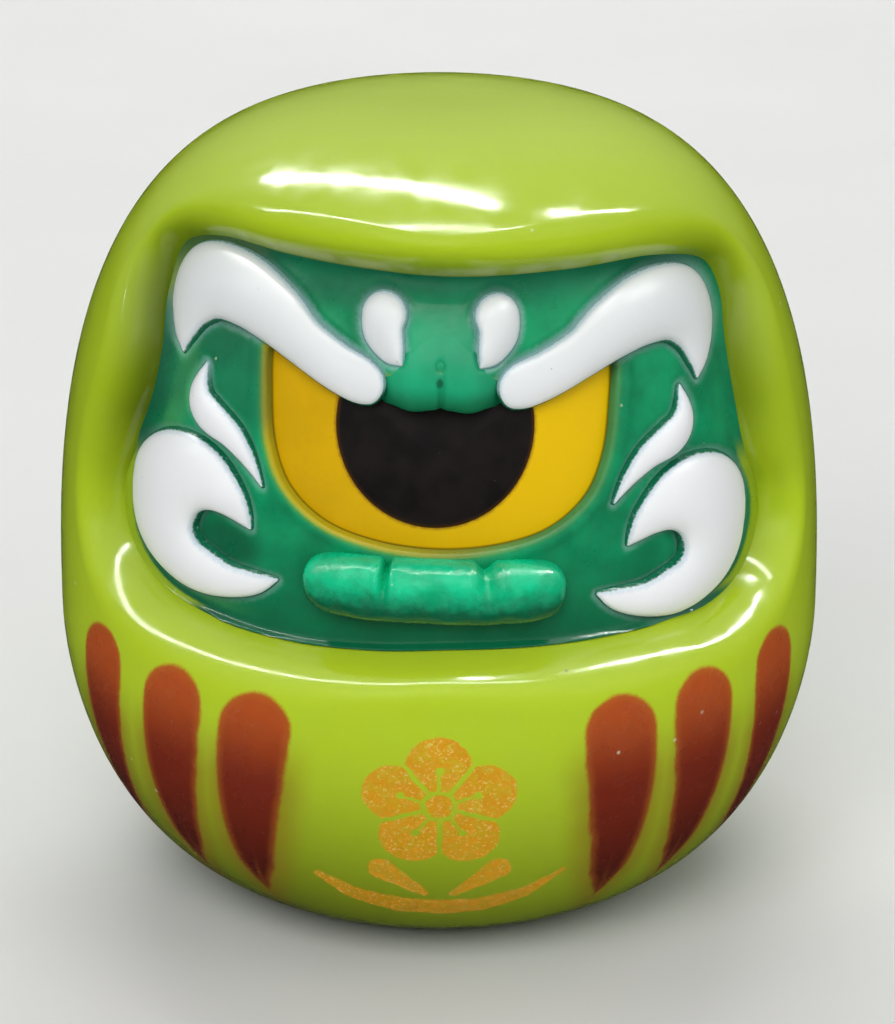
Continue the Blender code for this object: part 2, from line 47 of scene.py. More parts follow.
# Body, face and eye sizes, as in the CAD.
BODY_RADIUS = 33.0
BODY_HEIGHT = 69.0
WIDEST_LEVEL = 25.0
UNCUT_BOTTOM = -0.95
CROWN_EXPONENTS = (2.5, 3.2)
BASE_EXPONENTS = (1.8, 3.6)
CORE = np.array((0.0, 0.0, 40.0))
WALL = 2.2
FACE_MIDDLE = np.array((0.0, 46.0))
FACE_ROLL = math.radians(2.0)
FACE_DEPTH = 5.0
FACE_FLATNESS = 1.05
PLATE_THICKNESS = 2.2
EYE_SETBACK = 0.95
EYE_BULGE = 0.7
EYE_THICKNESS = 2.4
ROLL_WIDTH_SIDE = 3.6
ROLL_WIDTH_TOP = 1.6
ROLL_WIDTH_BOTTOM = 1.2
CAD_COLUMNS = 60
ROLL_SMOOTHING = 3
ROLL_HANDLE_OUT = 0.42
ROLL_HANDLE_IN = 0.55
PUPIL_MIDDLE = (-0.3, 48.5)
PUPIL_RADIUS = 8.0
PUPIL_TOP = 53.4
PUPIL_THICKNESS = 0.9
SOLE_HOLE_RADIUS = 11.8

# Mesh density.
COLUMNS = 300
BACK_RINGS = 72
ROLL_RINGS = 28
INNER_RINGS = 16
SKIN_RINGS = 96
EYE_RINGS = 40
MARK_CELL = 0.11
SPINE_STEPS = 14
MARK_LEAN = 1.0
MARK_CORNER = 1.25
TURNED_STEPS = 128

OPENING = (
    (1.0, 30.8), (9.0, 30.7), (17.0, 30.7), (21.5, 30.7), (24.8, 32.1), (26.3, 35.0), (26.3, 38.3),
    (25.0, 42.2), (24.1, 46.5), (23.3, 51.0), (22.8, 54.8), (21.0, 57.5), (16.5, 59.0), (10.0, 59.3),
    (1.0, 59.4), (-6.0, 59.8), (-12.5, 60.1), (-17.3, 60.1), (-20.6, 58.6), (-22.0, 55.2),
    (-22.4, 51.0), (-23.3, 47.0), (-24.7, 43.0), (-25.8, 39.0), (-25.5, 35.1), (-22.8, 32.3),
    (-18.0, 31.1), (-12.0, 30.6), (-5.0, 30.6),
)
EYE_HOLE_HALF = (
    (0.0, 38.5), (5.0, 38.9), (9.3, 40.1), (12.3, 42.5), (13.7, 45.8), (14.1, 50.0), (14.0, 53.6),
    (12.8, 55.0), (9.5, 53.7), (5.5, 52.0), (0.0, 52.0),
)
BROW = (
    (20.75, 49.92, 0.12), (20.75, 51.45, 0.85), (20.07, 53.93, 1.75), (18.4, 55.8, 2.45),
    (15.75, 56.1, 2.65), (13.15, 55.2, 2.4), (10.9, 53.8, 1.95), (8.27, 52.5, 1.85), (6.4, 51.8, 1.8),
    (5.6, 51.5, 1.55),
)
DROP = (
    (4.45, 56.7, 1.8), (4.55, 55.65, 1.6), (3.9, 54.13, 1.0), (3.13, 52.95, 0.12),
)
FLAME = (
    (19.0, 49.94, 0.12), (19.25, 48.73, 0.5), (19.23, 47.32, 0.95), (18.43, 46.25, 1.42),
    (16.57, 45.25, 1.1), (15.08, 43.7, 0.65), (13.92, 41.83, 0.12),
)
SWIRL = (
    (15.28, 38.6, 0.2), (16.03, 39.63, 0.85), (17.2, 40.8, 1.6), (19.13, 41.82, 2.53), (20.73, 41.7, 3.0),
    (21.93, 40.32, 3.05), (22.43, 38.32, 2.78), (22.35, 36.3, 2.65), (21.57, 35.0, 2.3),
    (19.67, 34.17, 2.15), (17.22, 33.8, 1.5), (14.83, 34.1, 0.95), (12.97, 34.77, 0.15),
)
# Each mark's kind, stroke and height, then how far the left one and the right one sit outward and
# upward of the stroke, with their outer end's tilt up in degrees.
MARKS = (
    ("brow", BROW, 2.0, ((0.2, 0.4, 2.7), (0.3, 0.1, 0.3))),
    ("forehead_drop", DROP, 1.35, ((0.05, -0.13, -4.5), (-0.25, -0.05, -0.3))),
    ("cheek_flame", FLAME, 1.3, ((0.1, 0.5, 1.8), (0.4, 0.0, -0.8))),
    ("cheek_swirl", SWIRL, 2.0, ((-0.2, 0.0, 0.0), (0.35, -0.4, -1.5))),
)
SIDES = ((-1.0, "left"), (1.0, "right"))


# ---- camera, floor and light


def add_object(name, data):
    made = bpy.data.objects.new(name, data)
    bpy.context.scene.collection.objects.link(made)
    return made


def make_camera():
    """Camera at the height and distance that a small toy is photographed from by hand."""
    elevation = math.radians(20.0)
    distance = 319.35
    middle = Vector((0.0, 0.0, 34.06))
    aim_right = 0.7414
    aim_down = 1.9887
    up = Vector((0.0, math.sin(elevation), math.cos(elevation)))
    place = middle + Vector((0.0, -math.cos(elevation), math.sin(elevation))) * distance
    aim = middle + Vector((aim_right, 0.0, 0.0)) - up * aim_down
    data = bpy.data.cameras.new("camera")
    data.sensor_width = 36.0
    data.lens = 128.7165
    data.clip_start = 0.01
    camera = add_object("camera", data)
    camera.location = place * MM
    camera.rotation_euler = (aim - place).to_track_quat("-Z", "Y").to_euler()
    bpy.context.scene.camera = camera


def add_area(name, place, aim, size, power):
    """Rectangular light at a place, turned to an aim. Both are in metres."""
    data = bpy.data.lights.new(name, "AREA")
    data.shape = "RECTANGLE"
    data.size, data.size_y = size
    data.energy = power
    lamp = add_object(name, data)
    lamp.location = place
    lamp.rotation_euler = (Vector(aim) - Vector(place)).to_track_quat("-Z", "Y").to_euler()
    return lamp


def add_tube(name, start, end, width, power):
    """Long narrow light from start to end, which faces the object and shows only as a reflection."""
    start = Vector(start)
    end = Vector(end)
    middle = (start + end) / 2
    aim = Vector((0.0, 0.0, 0.05))
    lamp = add_area(name, middle, aim, ((end - start).length, width), power)
    lamp.visible_diffuse = False
    facing = (middle - aim).normalized()
    across = facing.cross(end - start).normalized()
    along = across.cross(facing).normalized()
    lamp.rotation_euler = Matrix((along, across, facing)).transposed().to_euler()


def make_world():
    """Even light all round, which reflections see as a ceiling that brightens upwards."""
    world = bpy.data.worlds.new("studio")
    bpy.context.scene.world = world
    world.use_nodes = True
    nodes = world.node_tree.nodes
    link = world.node_tree.links.new
    sky = nodes["Background"]
    sky.inputs["Color"].default_value = (0.98, 0.99, 1.0, 1.0)
    kinds = ("TexCoord", "SeparateXYZ", "MapRange", "LightPath", "MapRange")
    direction, split, ceiling, path, level = (nodes.new("ShaderNode" + kind) for kind in kinds)
    for name, value in (("From Min", -0.05), ("From Max", 0.95), ("To Min", 0.02), ("To Max", 1.0)):
        ceiling.inputs[name].default_value = value
    level.inputs["To Min"].default_value = 0.42
    link(direction.outputs["Generated"], split.inputs[0])
    link(split.outputs["Z"], ceiling.inputs["Value"])
    link(path.outputs["Is Glossy Ray"], level.inputs["Value"])
    link(ceiling.outputs[0], level.inputs["To Max"])
    link(level.outputs[0], sky.inputs["Strength"])


def make_lights():
    """Three ceiling tubes for the highlights and three soft panels, which make none."""
    ceiling = 0.80
    for name, start, end, width, power in (
        ("tube_back", (-0.416, 0.528), (0.176, 0.080), 0.028, 12.0),
        ("tube_right", (0.352, 0.120), (0.784, 0.216), 0.028, 5.0),
        ("tube_front", (-0.960, -0.032), (0.432, -0.104), 0.016, 5.0),
    ):
        add_tube(name, (*start, ceiling), (*end, ceiling), width, power)
    for name, place, aim_height, size, power in (
        ("soft_front", (-0.15, -0.55, 0.50), 0.03, (0.50, 0.40), 3.3),
        ("soft_right", (0.55, -0.25, 0.35), 0.03, (0.40, 0.40), 0.9),
        ("soft_back", (0.0, 0.60, 0.55), 0.04, (0.60, 0.40), 3.4),
    ):
        add_area(name, place, (0.0, 0.0, aim_height), size, power).visible_glossy = False


def make_floor():
    size = 3.0
    mesh = bpy.data.meshes.new("floor")
    corners = [(-size, -size, 0), (size, -size, 0), (size, size, 0), (-size, size, 0)]
    mesh.from_pydata(corners, [], [(0, 1, 2, 3)])
    mesh.materials.append(make_floor_material())
    floor = add_object("floor", mesh)
    floor.visible_glossy = False


# ---- shader graph helper


def arithmetic(operation):
    """Operator of a field that stands for one Math node."""
    return lambda field, *others: field.graph.math(operation, field, *others)


class Field:
    """A node's output, with operators that add Math nodes to its graph."""

    __add__ = arithmetic("ADD")
    __sub__ = arithmetic("SUBTRACT")
    __mul__ = arithmetic("MULTIPLY")
    __truediv__ = arithmetic("DIVIDE")
    __pow__ = arithmetic("POWER")
    __abs__ = arithmetic("ABSOLUTE")

    def __init__(self, graph, socket):
        self.graph = graph
        self.socket = socket

    def __rsub__(self, other):
        return self.graph.math("SUBTRACT", other, self)

    def ramp(self, low, high, start=0.0, end=1.0):
        """Smooth step from start to end as the field goes from low to high."""
        inputs = dict(enumerate((self, low, high, start, end)))
        return self.graph.field("ShaderNodeMapRange", 0, inputs, interpolation_type="SMOOTHSTEP")


class Graph:
    """Builds a material's nodes. Inputs are fields, plain numbers, vectors and colours."""

    def __init__(self, name):
        self.material = bpy.data.materials.new(name)
        self.material.use_nodes = True
        self.tree = self.material.node_tree
        self.shader = self.tree.nodes["Principled BSDF"]
        self.colour = None
        place = self.field("ShaderNodeTexCoord", "Object", {})
        self.place = self.vector("SCALE", place, scale=1.0 / MM)
        split = self.add("ShaderNodeSeparateXYZ", {0: self.place})
        self.x, self.y, self.z = (Field(self, output) for output in split.outputs)

    def put(self, socket, value):
        if isinstance(value, Field):
            self.tree.links.new(value.socket, socket)
        else:
            socket.default_value = (*value, 1.0) if socket.type == "RGBA" else value

    def set(self, name, value):
        self.put(self.shader.inputs[name], value)

    def add(self, kind, inputs, **settings):
        """New node, with its inputs by name or number."""
        node = self.tree.nodes.new(kind)
        for key, value in settings.items():
            setattr(node, key, value)
        for key, value in inputs.items():
            self.put(node.inputs[key], value)
        return node

    def field(self, kind, output, inputs, **settings):
        return Field(self, self.add(kind, inputs, **settings).outputs[output])

    def math(self, operation, *values):
        return self.field("ShaderNodeMath", 0, dict(enumerate(values)), operation=operation)

    def smaller(self, *values):
        return functools.reduce(lambda a, b: self.math("MINIMUM", a, b), values)

    def larger(self, *values):
        return functools.reduce(lambda a, b: self.math("MAXIMUM", a, b), values)

    def length(self, a, b):
        return self.math("SQRT", a * a + b * b)

    def vector(self, operation, a, b=None, scale=None):
        inputs = {key: value for key, value in ((0, a), (1, b), ("Scale", scale)) if value is not None}
        output = "Value" if operation in ("LENGTH", "DOT_PRODUCT") else 0
        return self.field("ShaderNodeVectorMath", output, inputs, operation=operation)

    def away(self, centre, scale):
        """Distance to a centre, after each axis is scaled."""
        offset = self.vector("SUBTRACT", self.place, centre)
        return self.vector("LENGTH", self.vector("MULTIPLY", offset, scale))

    def mix(self, share, a, b):
        return self.field("ShaderNodeMix", 2, {0: share, 6: a, 7: b}, data_type="RGBA")

    def tint(self, share, colour):
        """Turn the running colour towards another."""
        self.colour = self.mix(share, self.colour, colour)

    def noise(self, scale, detail=2.0, roughness=0.5, place=None):
        inputs = {"Vector": place or self.place, "Scale": scale, "Detail": detail, "Roughness": roughness}
        return self.field("ShaderNodeTexNoise", 0, inputs)

    def drift(self, scale, start, end):
        """Slow random change between two values."""
        return self.noise(scale, 4.0).ramp(0.3, 0.7, start, end)

    def cells(self, scale):
        """Distance to the nearest of scattered points, and that point's random number."""
        node = self.add("ShaderNodeTexVoronoi", {"Vector": self.place, "Scale": scale})
        number = self.field("ShaderNodeSeparateColor", 0, {0: Field(self, node.outputs["Color"])})
        return Field(self, node.outputs["Distance"]), number

    def flecks(self, scale, size, share, strength, colour):
        """Rare round specks in another colour. Gives 1 inside them and 0 outside."""
        near, number = self.cells(scale)
        specks = near.ramp(size, size * 0.4) * self.math("LESS_THAN", number, share)
        self.tint(specks * strength, colour)
        return specks

    def attribute(self, name):
        return self.field("ShaderNodeAttribute", "Fac", {}, attribute_name=name)

    def soften(self, weight, radius, scale):
        """Let light into the surface, as far as scale in millimetres."""
        self.set("Subsurface Weight", weight)
        self.set("Subsurface Radius", radius)
        self.set("Subsurface Scale", scale * MM)

    def finished(self, roughness, *bumps, specular=0.5):
        """The material, with bumps one on another: height or (noise scale, detail), strength, millimetres."""
        self.set("Base Color", self.colour)
        self.set("Roughness", roughness)
        self.set("Specular IOR Level", specular)
        inputs = {}
        for *height, strength, distance in bumps:
            height = self.noise(*height) if len(height) == 2 else height[0]
            inputs.update({"Height": height, "Strength": strength, "Distance": distance * MM})
            inputs["Normal"] = self.field("ShaderNodeBump", 0, inputs)
        self.set("Normal", inputs["Normal"])
        return self.material


# ---- materials


def make_floor_material():
    g = Graph("floor_paper")
    g.colour = g.mix(g.noise(0.02, 3.0), (0.60, 0.60, 0.59), (0.66, 0.66, 0.65))
    return g.finished(g.noise(0.4).ramp(0.0, 1.0, 0.75, 0.9), (3.0, 4.0, 0.1, 0.05))


def flower_distance(g, across, up, middle, reach, petal):
    """Signed distance to a flower of five round petals, with gaps between them, a ring and stamens."""
    du = across - middle[0]
    dv = up - middle[1]
    radius = g.length(du, dv)
    fifth = math.tau / 5
    angle = g.math("FLOORED_MODULO", g.math("ARCTAN2", du, dv) + fifth / 2, fifth)
    folded = abs(angle - fifth / 2)
    along = radius * g.math("COSINE", folded)
    aside = radius * g.math("SINE", folded)
    petals = g.length(along - reach, aside) - petal
    gap = 0.2 - radius * g.math("SINE", fifth / 2 - folded)
    ring = 0.18 - abs(radius - 1.35)
    stem = g.larger(aside - 0.12, abs(along - 2.2) - 0.7)
    dot = g.length(along - 3.3, aside) - 0.34
    petals = g.larger(petals, gap, ring, 0.0 - g.smaller(stem, dot))
    return g.smaller(petals, radius - 1.1)


def brush_distance(g, point, start, end):
    """Signed distance to a straight brush stroke between two places, each (x, z, half width)."""
    run = Vector((end[0] - start[0], end[1] - start[1], 0.0))
    offset = g.vector("SUBTRACT", point, (start[0], start[1], 0.0))
    share = g.vector("DOT_PRODUCT", offset, tuple(run / run.length_squared))
    share = g.larger(g.smaller(share, 1.0), 0.0)
    nearest = g.vector("SCALE", tuple(run), scale=share)
    away = g.vector("LENGTH", g.vector("SUBTRACT", offset, nearest))
    return away - (share * (end[2] - start[2]) + start[2])


def gold_distance(g):
    """Signed distance to a blossom over a bowed brush line, with two leaves between them."""
    wobble = (g.noise(0.9, 3.0) - 0.5) * 0.5
    across = g.x + wobble
    up = g.z + wobble
    point = g.field("ShaderNodeCombineXYZ", 0, {0: across, 1: up})
    bow = ((-10.0, 10.4, 0.35), (-7.0, 8.4, 0.8), (-3.5, 7.3, 1.0), (0.0, 7.0, 1.05), (3.5, 7.3, 0.95),
           (7.0, 8.5, 0.65), (10.2, 10.8, 0.2))
    strokes = list(zip(bow, bow[1:]))
    for side in (-1.0, 1.0):
        strokes.append(((side * 1.2, 9.0, 0.35), (side * 4.8, 11.8, 1.15)))
    flower = flower_distance(g, across, up, (0.0, 18.6), 3.7, 2.75)
    return g.smaller(flower, *(brush_distance(g, point, *stroke) for stroke in strokes))


def stripe_mask(g):
    """Three teardrop stripes on each side: how far inside one, and how far below the first one's top."""
    cap = 3.3
    azimuth = g.math("DEGREES", abs(g.math("ARCTAN2", g.x, 0.0 - g.y)))
    level_radius = g.length(g.x, g.y)
    lean = g.x.ramp(-1.0, 1.0, 0.33, 0.18)
    wobble = (g.noise(0.45, 3.0) - 0.5) * 0.7
    stripes = []
    depths = []
    for middle, top in ((26.0, 27.3), (40.7, 27.7), (57.9, 28.3)):
        depth = g.x * -0.006 + top - g.z
        arc = g.math("RADIANS", azimuth - (depth * lean + middle)) * level_radius + wobble * 0.5
        away = g.length(arc, g.larger(cap - depth, 0.0))
        half = cap - g.larger(depth - cap, 0.0) ** 2.0 * 0.0075
        half = half - g.larger(depth - 17.5, 0.0) * 0.25
        notch = abs(arc) - (depth - 22.0) * 0.12
        stripes.append(g.smaller(half - away, notch))
        depths.append(depth)
    return g.larger(*stripes) + wobble * 0.35, depths[0]


def paint_rim(g):
    """Painted olive shade under the hood, a pale streaky painted reflection along its edge, and green
    overspray in the crease.
    """
    crease = g.attribute("crease")
    # Painted shade: olive under the hood and down the rim's walls.
    g.tint(g.attribute("painted_rim_shade") * 0.94, (0.075, 0.115, 0.002))
    # Painted reflection: a pale streaky band along the hood's edge, under the hood.
    under_hood = g.z.ramp(56.5, 58.0) * abs(g.x).ramp(20.0, 14.0)
    painted_reflection_band = crease.ramp(0.25, 0.9) * crease.ramp(2.1, 1.2)
    reflection_streaks = g.noise(0.35, 2.0).ramp(0.35, 0.60, 0.25, 0.75)
    g.tint(painted_reflection_band * under_hood * reflection_streaks, (0.42, 0.47, 0.20))
    grain = (g.noise(2.2, 4.0, 0.65) - 0.5) * 0.8
    spray = crease / g.x.ramp(15.0, -15.0, 0.18, 0.30) + grain
    g.tint(spray.ramp(1.5, 0.0) * 0.92, (0.008, 0.110, 0.042))


def paint_stripes(g):
    """Brick red stripes that darken downwards as painted shade, with orange edges and a brown haze round
    them.
    """
    inside, depth = stripe_mask(g)
    g.tint(inside.ramp(-3.2, 0.2, 0.0, 0.62) * depth.ramp(2.0, 9.0), (0.26, 0.15, 0.012))
    # Painted shade: the red grows darker down the belly.
    red = g.mix(depth.ramp(0.5, 9.0), (0.48, 0.085, 0.012), (0.20, 0.020, 0.006))
    red = g.mix(depth.ramp(7.0, 21.0), red, (0.075, 0.009, 0.005))
    red = g.mix(inside.ramp(0.9, 0.0) * 0.40, red, (0.50, 0.16, 0.014))
    red = g.mix(g.noise(0.8, 4.0) * 0.25, red, (0.13, 0.014, 0.006))
    ragged = inside + (g.noise(5.0, 2.0) - 0.5) * 0.25
    stripe = ragged.ramp(-0.28, 0.22) * g.length(g.x, g.y).ramp(12.0, 14.0)
    g.tint(stripe, red)
    return stripe


def paint_motif(g):
    """Thin gold paint with glittering flakes, on the belly only."""
    motif = gold_distance(g) + (g.noise(4.0, 3.0) - 0.5) * 0.16
    gold = motif.ramp(0.10, -0.14) * g.math("LESS_THAN", g.y, -12.0)
    gold = gold * g.noise(1.1, 3.0).ramp(0.35, 0.62, 0.72, 1.0)
    flake = g.cells(7.0)[1]
    paint = g.mix(g.noise(0.5, 3.0), (0.70, 0.31, 0.006), (0.80, 0.40, 0.012))
    g.tint(gold, g.mix(flake.ramp(0.80, 1.0) * 0.6, paint, (1.0, 0.72, 0.22)))
    g.set("Metallic", gold * 0.12)
    return gold


def make_lime_material(name, painted=True):
    """Glossy lime vinyl with dust, dark flecks and a worn sole, painted lighter on the belly and with painted
    shade low down. The body's own also carries its paint.
    """
    g = Graph(name)
    fine = g.noise(1.6, 4.0)
    # Painted light: lighter on the belly than on the crown.
    g.colour = g.mix(g.z.ramp(18.0, 46.0), (0.455, 0.610, 0.024), (0.390, 0.530, 0.014))
    g.tint(g.noise(0.045, 3.0).ramp(0.3, 0.7) * 0.16, (0.44, 0.63, 0.045))
    g.tint(fine * 0.07, (0.27, 0.40, 0.012))
    # Painted shade: darker towards the bottom, and more so on the left.
    g.tint(g.z.ramp(27.0, 3.0) * g.x.ramp(-18.0, 6.0, 0.92, 0.66), (0.135, 0.175, 0.006))
    wear = g.z.ramp(1.4, 0.0)
    rough = g.drift(0.35, 0.07, 0.16) + fine * 0.05 + wear * 0.25
    if painted:
        paint_rim(g)
        rough = rough + paint_stripes(g) * 0.12
        rough = rough + paint_motif(g) * 0.16
    dust = g.flecks(0.42, 0.10, 0.10, 0.45, (0.75, 0.80, 0.55))
    g.flecks(0.30, 0.07, 0.06, 0.5, (0.10, 0.12, 0.03))
    g.tint(wear * g.noise(0.7, 4.0).ramp(0.4, 0.6, 0.1, 0.5), (0.20, 0.24, 0.08))
    g.soften(0.18, (0.9, 1.0, 0.25), 1.6)
    return g.finished(rough, (0.22, 2.0, 0.09, 0.25), (1.3, 2.0, 0.22, 0.02),
                      (7.0, 2.0, 0.25, 0.006), (dust, 0.5, 0.04))


def paint_skin(g):
    """Overspray round the marks and the eye, painted shade (low on the face, under the hood, at the marks'
    feet, along the borders, in a hollow on the left and in the left swirl's bay), and a bead at the lower
    border.

    Gives how much smoother the bead is.
    """
    grain = (g.noise(2.6, 4.0, 0.7) - 0.5) * 0.9
    mark = g.attribute("mark")
    hole = g.attribute("hole")
    rim = g.attribute("rim")
    # Painted shade: darker low on the face, under the mouth and the eye.
    g.tint(g.z.ramp(40.0, 31.5, 0.0, 0.72), (0.002, 0.100, 0.042))
    halo = (mark + grain * 0.45).ramp(0.65, 0.0)
    g.tint(halo * g.z.ramp(48.0, 56.0, 0.28, 0.55), (0.40, 0.62, 0.64))
    # Painted shade in the valleys at the marks' feet.
    g.tint(mark.ramp(0.14, 0.02) * 0.45, (0.004, 0.070, 0.036))
    round_eye = (hole + grain * 0.35).ramp(0.75, 0.10)
    yellowish = g.mix(hole.ramp(0.10, 0.50), (0.45, 0.36, 0.005), (0.13, 0.34, 0.02))
    g.tint(round_eye * g.x.ramp(10.0, -8.0, 0.12, 0.95), yellowish)
    edge = rim + grain * 1.1
    left = g.x.ramp(-14.0, -20.0)
    g.tint(edge.ramp(0.7, 1.5) * edge.ramp(3.4, 2.2) * left * 0.38, (0.09, 0.36, 0.10))
    # Painted shade: darker along the border's crease, more so on the left.
    g.tint(edge.ramp(1.5, 0.0) * (left * 0.35 + 0.40), (0.006, 0.075, 0.034))
    outermost = rim + grain * 0.25
    beside = g.z.ramp(31.0, 31.8) * g.z.ramp(43.5, 40.5) * abs(g.x).ramp(18.5, 20.5)
    g.tint(outermost.ramp(0.60, 0.30) * beside, (0.26, 0.38, 0.014))
    corner = g.x.ramp(-12.5, -15.5) * g.z.ramp(53.5, 56.0) * outermost.ramp(1.0, 0.4)
    g.tint(corner * 0.85, (0.16, 0.23, 0.035))
    # Painted shade in a hollow on the left, away from the marks.
    painted_hollow_shade = (g.x + grain).ramp(-10.5, -14.5) * g.z.ramp(45.5, 48.5) * mark.ramp(0.0, 0.9)
    g.tint(painted_hollow_shade * 0.45, (0.012, 0.085, 0.045))
    # Painted shade: darker at the top, under the hood.
    g.tint(g.z.ramp(56.0, 59.0, 0.0, 0.62), (0.002, 0.062, 0.030))
    # Painted shade in the left swirl's bay.
    bay = g.away((-17.4, 0.0, 37.5), (0.30, 0.0, 0.50)) + grain * 0.3
    g.tint(bay.ramp(1.15, 0.55, 0.0, 0.60), (0.003, 0.058, 0.026))
    return rim.ramp(0.65, 0.40) * g.z.ramp(38.0, 36.0) * 0.20


def make_green_material(name, deep, light, shine, skin=False):
    """Brushed and sprayed green paint, for the face's skin or for the nose, lighter on the bridge as painted
    light. The nose's own has painted shade on its underside and in its pit.
    """
    g = Graph(name)
    g.colour = g.mix(g.noise(0.16, 4.0, 0.6).ramp(0.32, 0.68), deep, light)
    g.tint(g.noise(1.4, 4.0, 0.65) * 0.25, (0.004, 0.115, 0.055))
    # Painted light: lighter green on the nose's bridge, where it is also rougher.
    bridge = abs(g.x).ramp(5.6, 3.4) * g.z.ramp(58.2, 55.4) * g.z.ramp(49.0, 50.0)
    g.tint(bridge * 0.45, (0.005, 0.380, 0.180))
    rough = g.drift(0.5, shine, shine + 0.14) + g.noise(3.0) * 0.06 + bridge * 0.16
    if skin:
        rough = rough - paint_skin(g)
    else:
        # Painted shade: darker on the nose's underside.
        g.tint(g.z.ramp(52.6, 50.6, 0.0, 0.65), (0.001, 0.120, 0.045))
        # Painted shade in the pit.
        pit = g.away((0.08, 0.0, 52.7), (1.0, 0.0, 0.8))
        g.tint(pit.ramp(0.42, 0.15, 0.0, 0.75), (0.001, 0.050, 0.024))
    dust = g.flecks(0.55, 0.10, 0.10, 0.5, (0.50, 0.62, 0.45))
    return g.finished(rough, (0.5, 3.0, 0.30, 0.12), (2.4, 4.0, 0.30, 0.03),
                      (9.0, 3.0, 0.25, 0.006), (dust, 0.5, 0.04), specular=0.26)


def make_mouth_material():
    """Bright green paint with painted shade below the lip's crest, and a thin lime line near its foot."""
    g = Graph("mouth_paint")
    cloud = g.noise(0.35, 4.0, 0.6).ramp(0.30, 0.70)
    g.colour = g.mix(cloud, (0.001, 0.43, 0.185), (0.003, 0.63, 0.295))
    around = g.attribute("around")
    # Painted shade on the lip's underside, below its crest.
    low = (around + (g.noise(1.5, 3.0) - 0.5) * 0.12).ramp(0.37, 0.62)
    g.tint(low * 0.95, (0.001, 0.070, 0.028))
    g.tint(around.ramp(0.70, 0.75) * around.ramp(0.84, 0.79) * 0.45, (0.16, 0.30, 0.02))
    g.tint(g.noise(2.0, 4.0, 0.6) * 0.25, (0.004, 0.20, 0.09))
    g.flecks(0.8, 0.10, 0.12, 0.5, (0.45, 0.65, 0.50))
    return g.finished(g.drift(0.9, 0.16, 0.36), (0.7, 3.0, 0.4, 0.18),
                      (2.6, 4.0, 0.35, 0.04), (9.0, 3.0, 0.3, 0.007))


def make_white_material():
    """White paint on top of a green mark, whose sprayed edge thins out towards the green wall, greyer higher
    up as painted shade.
    """
    g = Graph("mark_paint")
    edge = g.attribute("edge")
    upper = g.attribute("upper")
    grain = g.noise(3.2, 4.0, 0.7) - 0.5
    g.colour = g.mix(g.noise(0.25, 3.0) * 0.30, (0.80, 0.81, 0.82), (0.73, 0.755, 0.78))
    # Painted shade: greyer higher up, under the hood.
    g.tint(g.z.ramp(47.0, 55.0, 0.0, 0.38), (0.50, 0.54, 0.52))
    thin = (edge + grain * (upper * 0.45 + 0.10)).ramp(0.42, 0.06)
    g.tint(thin * (upper * 0.52 + 0.08), (0.36, 0.52, 0.62))
    wall = g.mix(g.noise(0.8, 3.0), (0.003, 0.105, 0.048), (0.005, 0.185, 0.088))
    drops = abs(g.x).ramp(7.6, 6.4) * g.z.ramp(52.2, 53.0)
    sprayed = g.larger(g.z.ramp(49.0, 52.0) * upper.ramp(0.35, 0.75), drops)
    wall = g.mix(sprayed * 0.72, wall, (0.36, 0.53, 0.56))
    white = (edge + grain * (upper * 0.14 + 0.05)).ramp(0.01, 0.09)
    g.colour = g.mix(white, wall, g.colour)
    fleck = g.flecks(0.9, 0.09, 0.05, 0.6, (0.20, 0.28, 0.26))
    g.soften(0.06, (1.0, 1.0, 1.0), 0.5)
    rough = white.ramp(0.0, 1.0, 0.16, 0.34) + g.noise(0.8, 4.0) * 0.14
    return g.finished(rough, (0.6, 3.0, 0.25, 0.12), (4.0, 4.0, 0.30, 0.015),
                      (14.0, 2.0, 0.3, 0.005), (fleck, 0.4, 0.03))


def make_iris_material():
    """Matt yellow paint, with painted shade on the left and at the eye hole's edge, and darker round the
    pupil.
    """
    g = Graph("iris_paint")
    # Painted shade: darker on the left.
    g.colour = g.mix(g.x.ramp(-13.0, 12.0), (0.57, 0.335, 0.0), (0.74, 0.475, 0.0))
    g.tint(g.noise(0.3, 4.0, 0.6).ramp(0.35, 0.65) * 0.18, (0.82, 0.47, 0.0))
    # Painted shade at the eye hole's edge.
    g.tint(g.attribute("hole").ramp(0.30, 0.06) * 0.8, (0.10, 0.075, 0.004))
    near = g.attribute("pupil") + (g.noise(2.5, 3.0) - 0.5) * 0.3
    g.tint(near.ramp(0.40, -0.05) * 0.8, (0.16, 0.055, 0.006))
    g.tint(g.noise(3.0, 3.0) * 0.06, (0.35, 0.19, 0.0))
    g.flecks(0.7, 0.07, 0.05, 0.5, (0.25, 0.14, 0.01))
    return g.finished(g.drift(0.8, 0.40, 0.52), (0.5, 3.0, 0.2, 0.06),
                      (5.0, 3.0, 0.25, 0.01), specular=0.14)


def make_pupil_material():
    """Black paint with brown worn edges and grey flecks."""
    g = Graph("pupil_paint")
    g.colour = g.mix(g.drift(0.4, 0.0, 1.0), (0.0075, 0.0062, 0.0062), (0.0125, 0.0095, 0.0090))
    near = g.attribute("edge") + (g.noise(3.0) - 0.5) * 0.2
    g.tint(near.ramp(0.35, 0.0) * 0.8, (0.055, 0.022, 0.004))
    fleck = g.flecks(0.9, 0.06, 0.12, 0.5, (0.10, 0.09, 0.09))
    return g.finished(g.drift(0.8, 0.36, 0.50), (0.5, 3.0, 0.2, 0.06),
                      (5.0, 3.0, 0.25, 0.012), (fleck, 0.5, 0.03), specular=0.12)


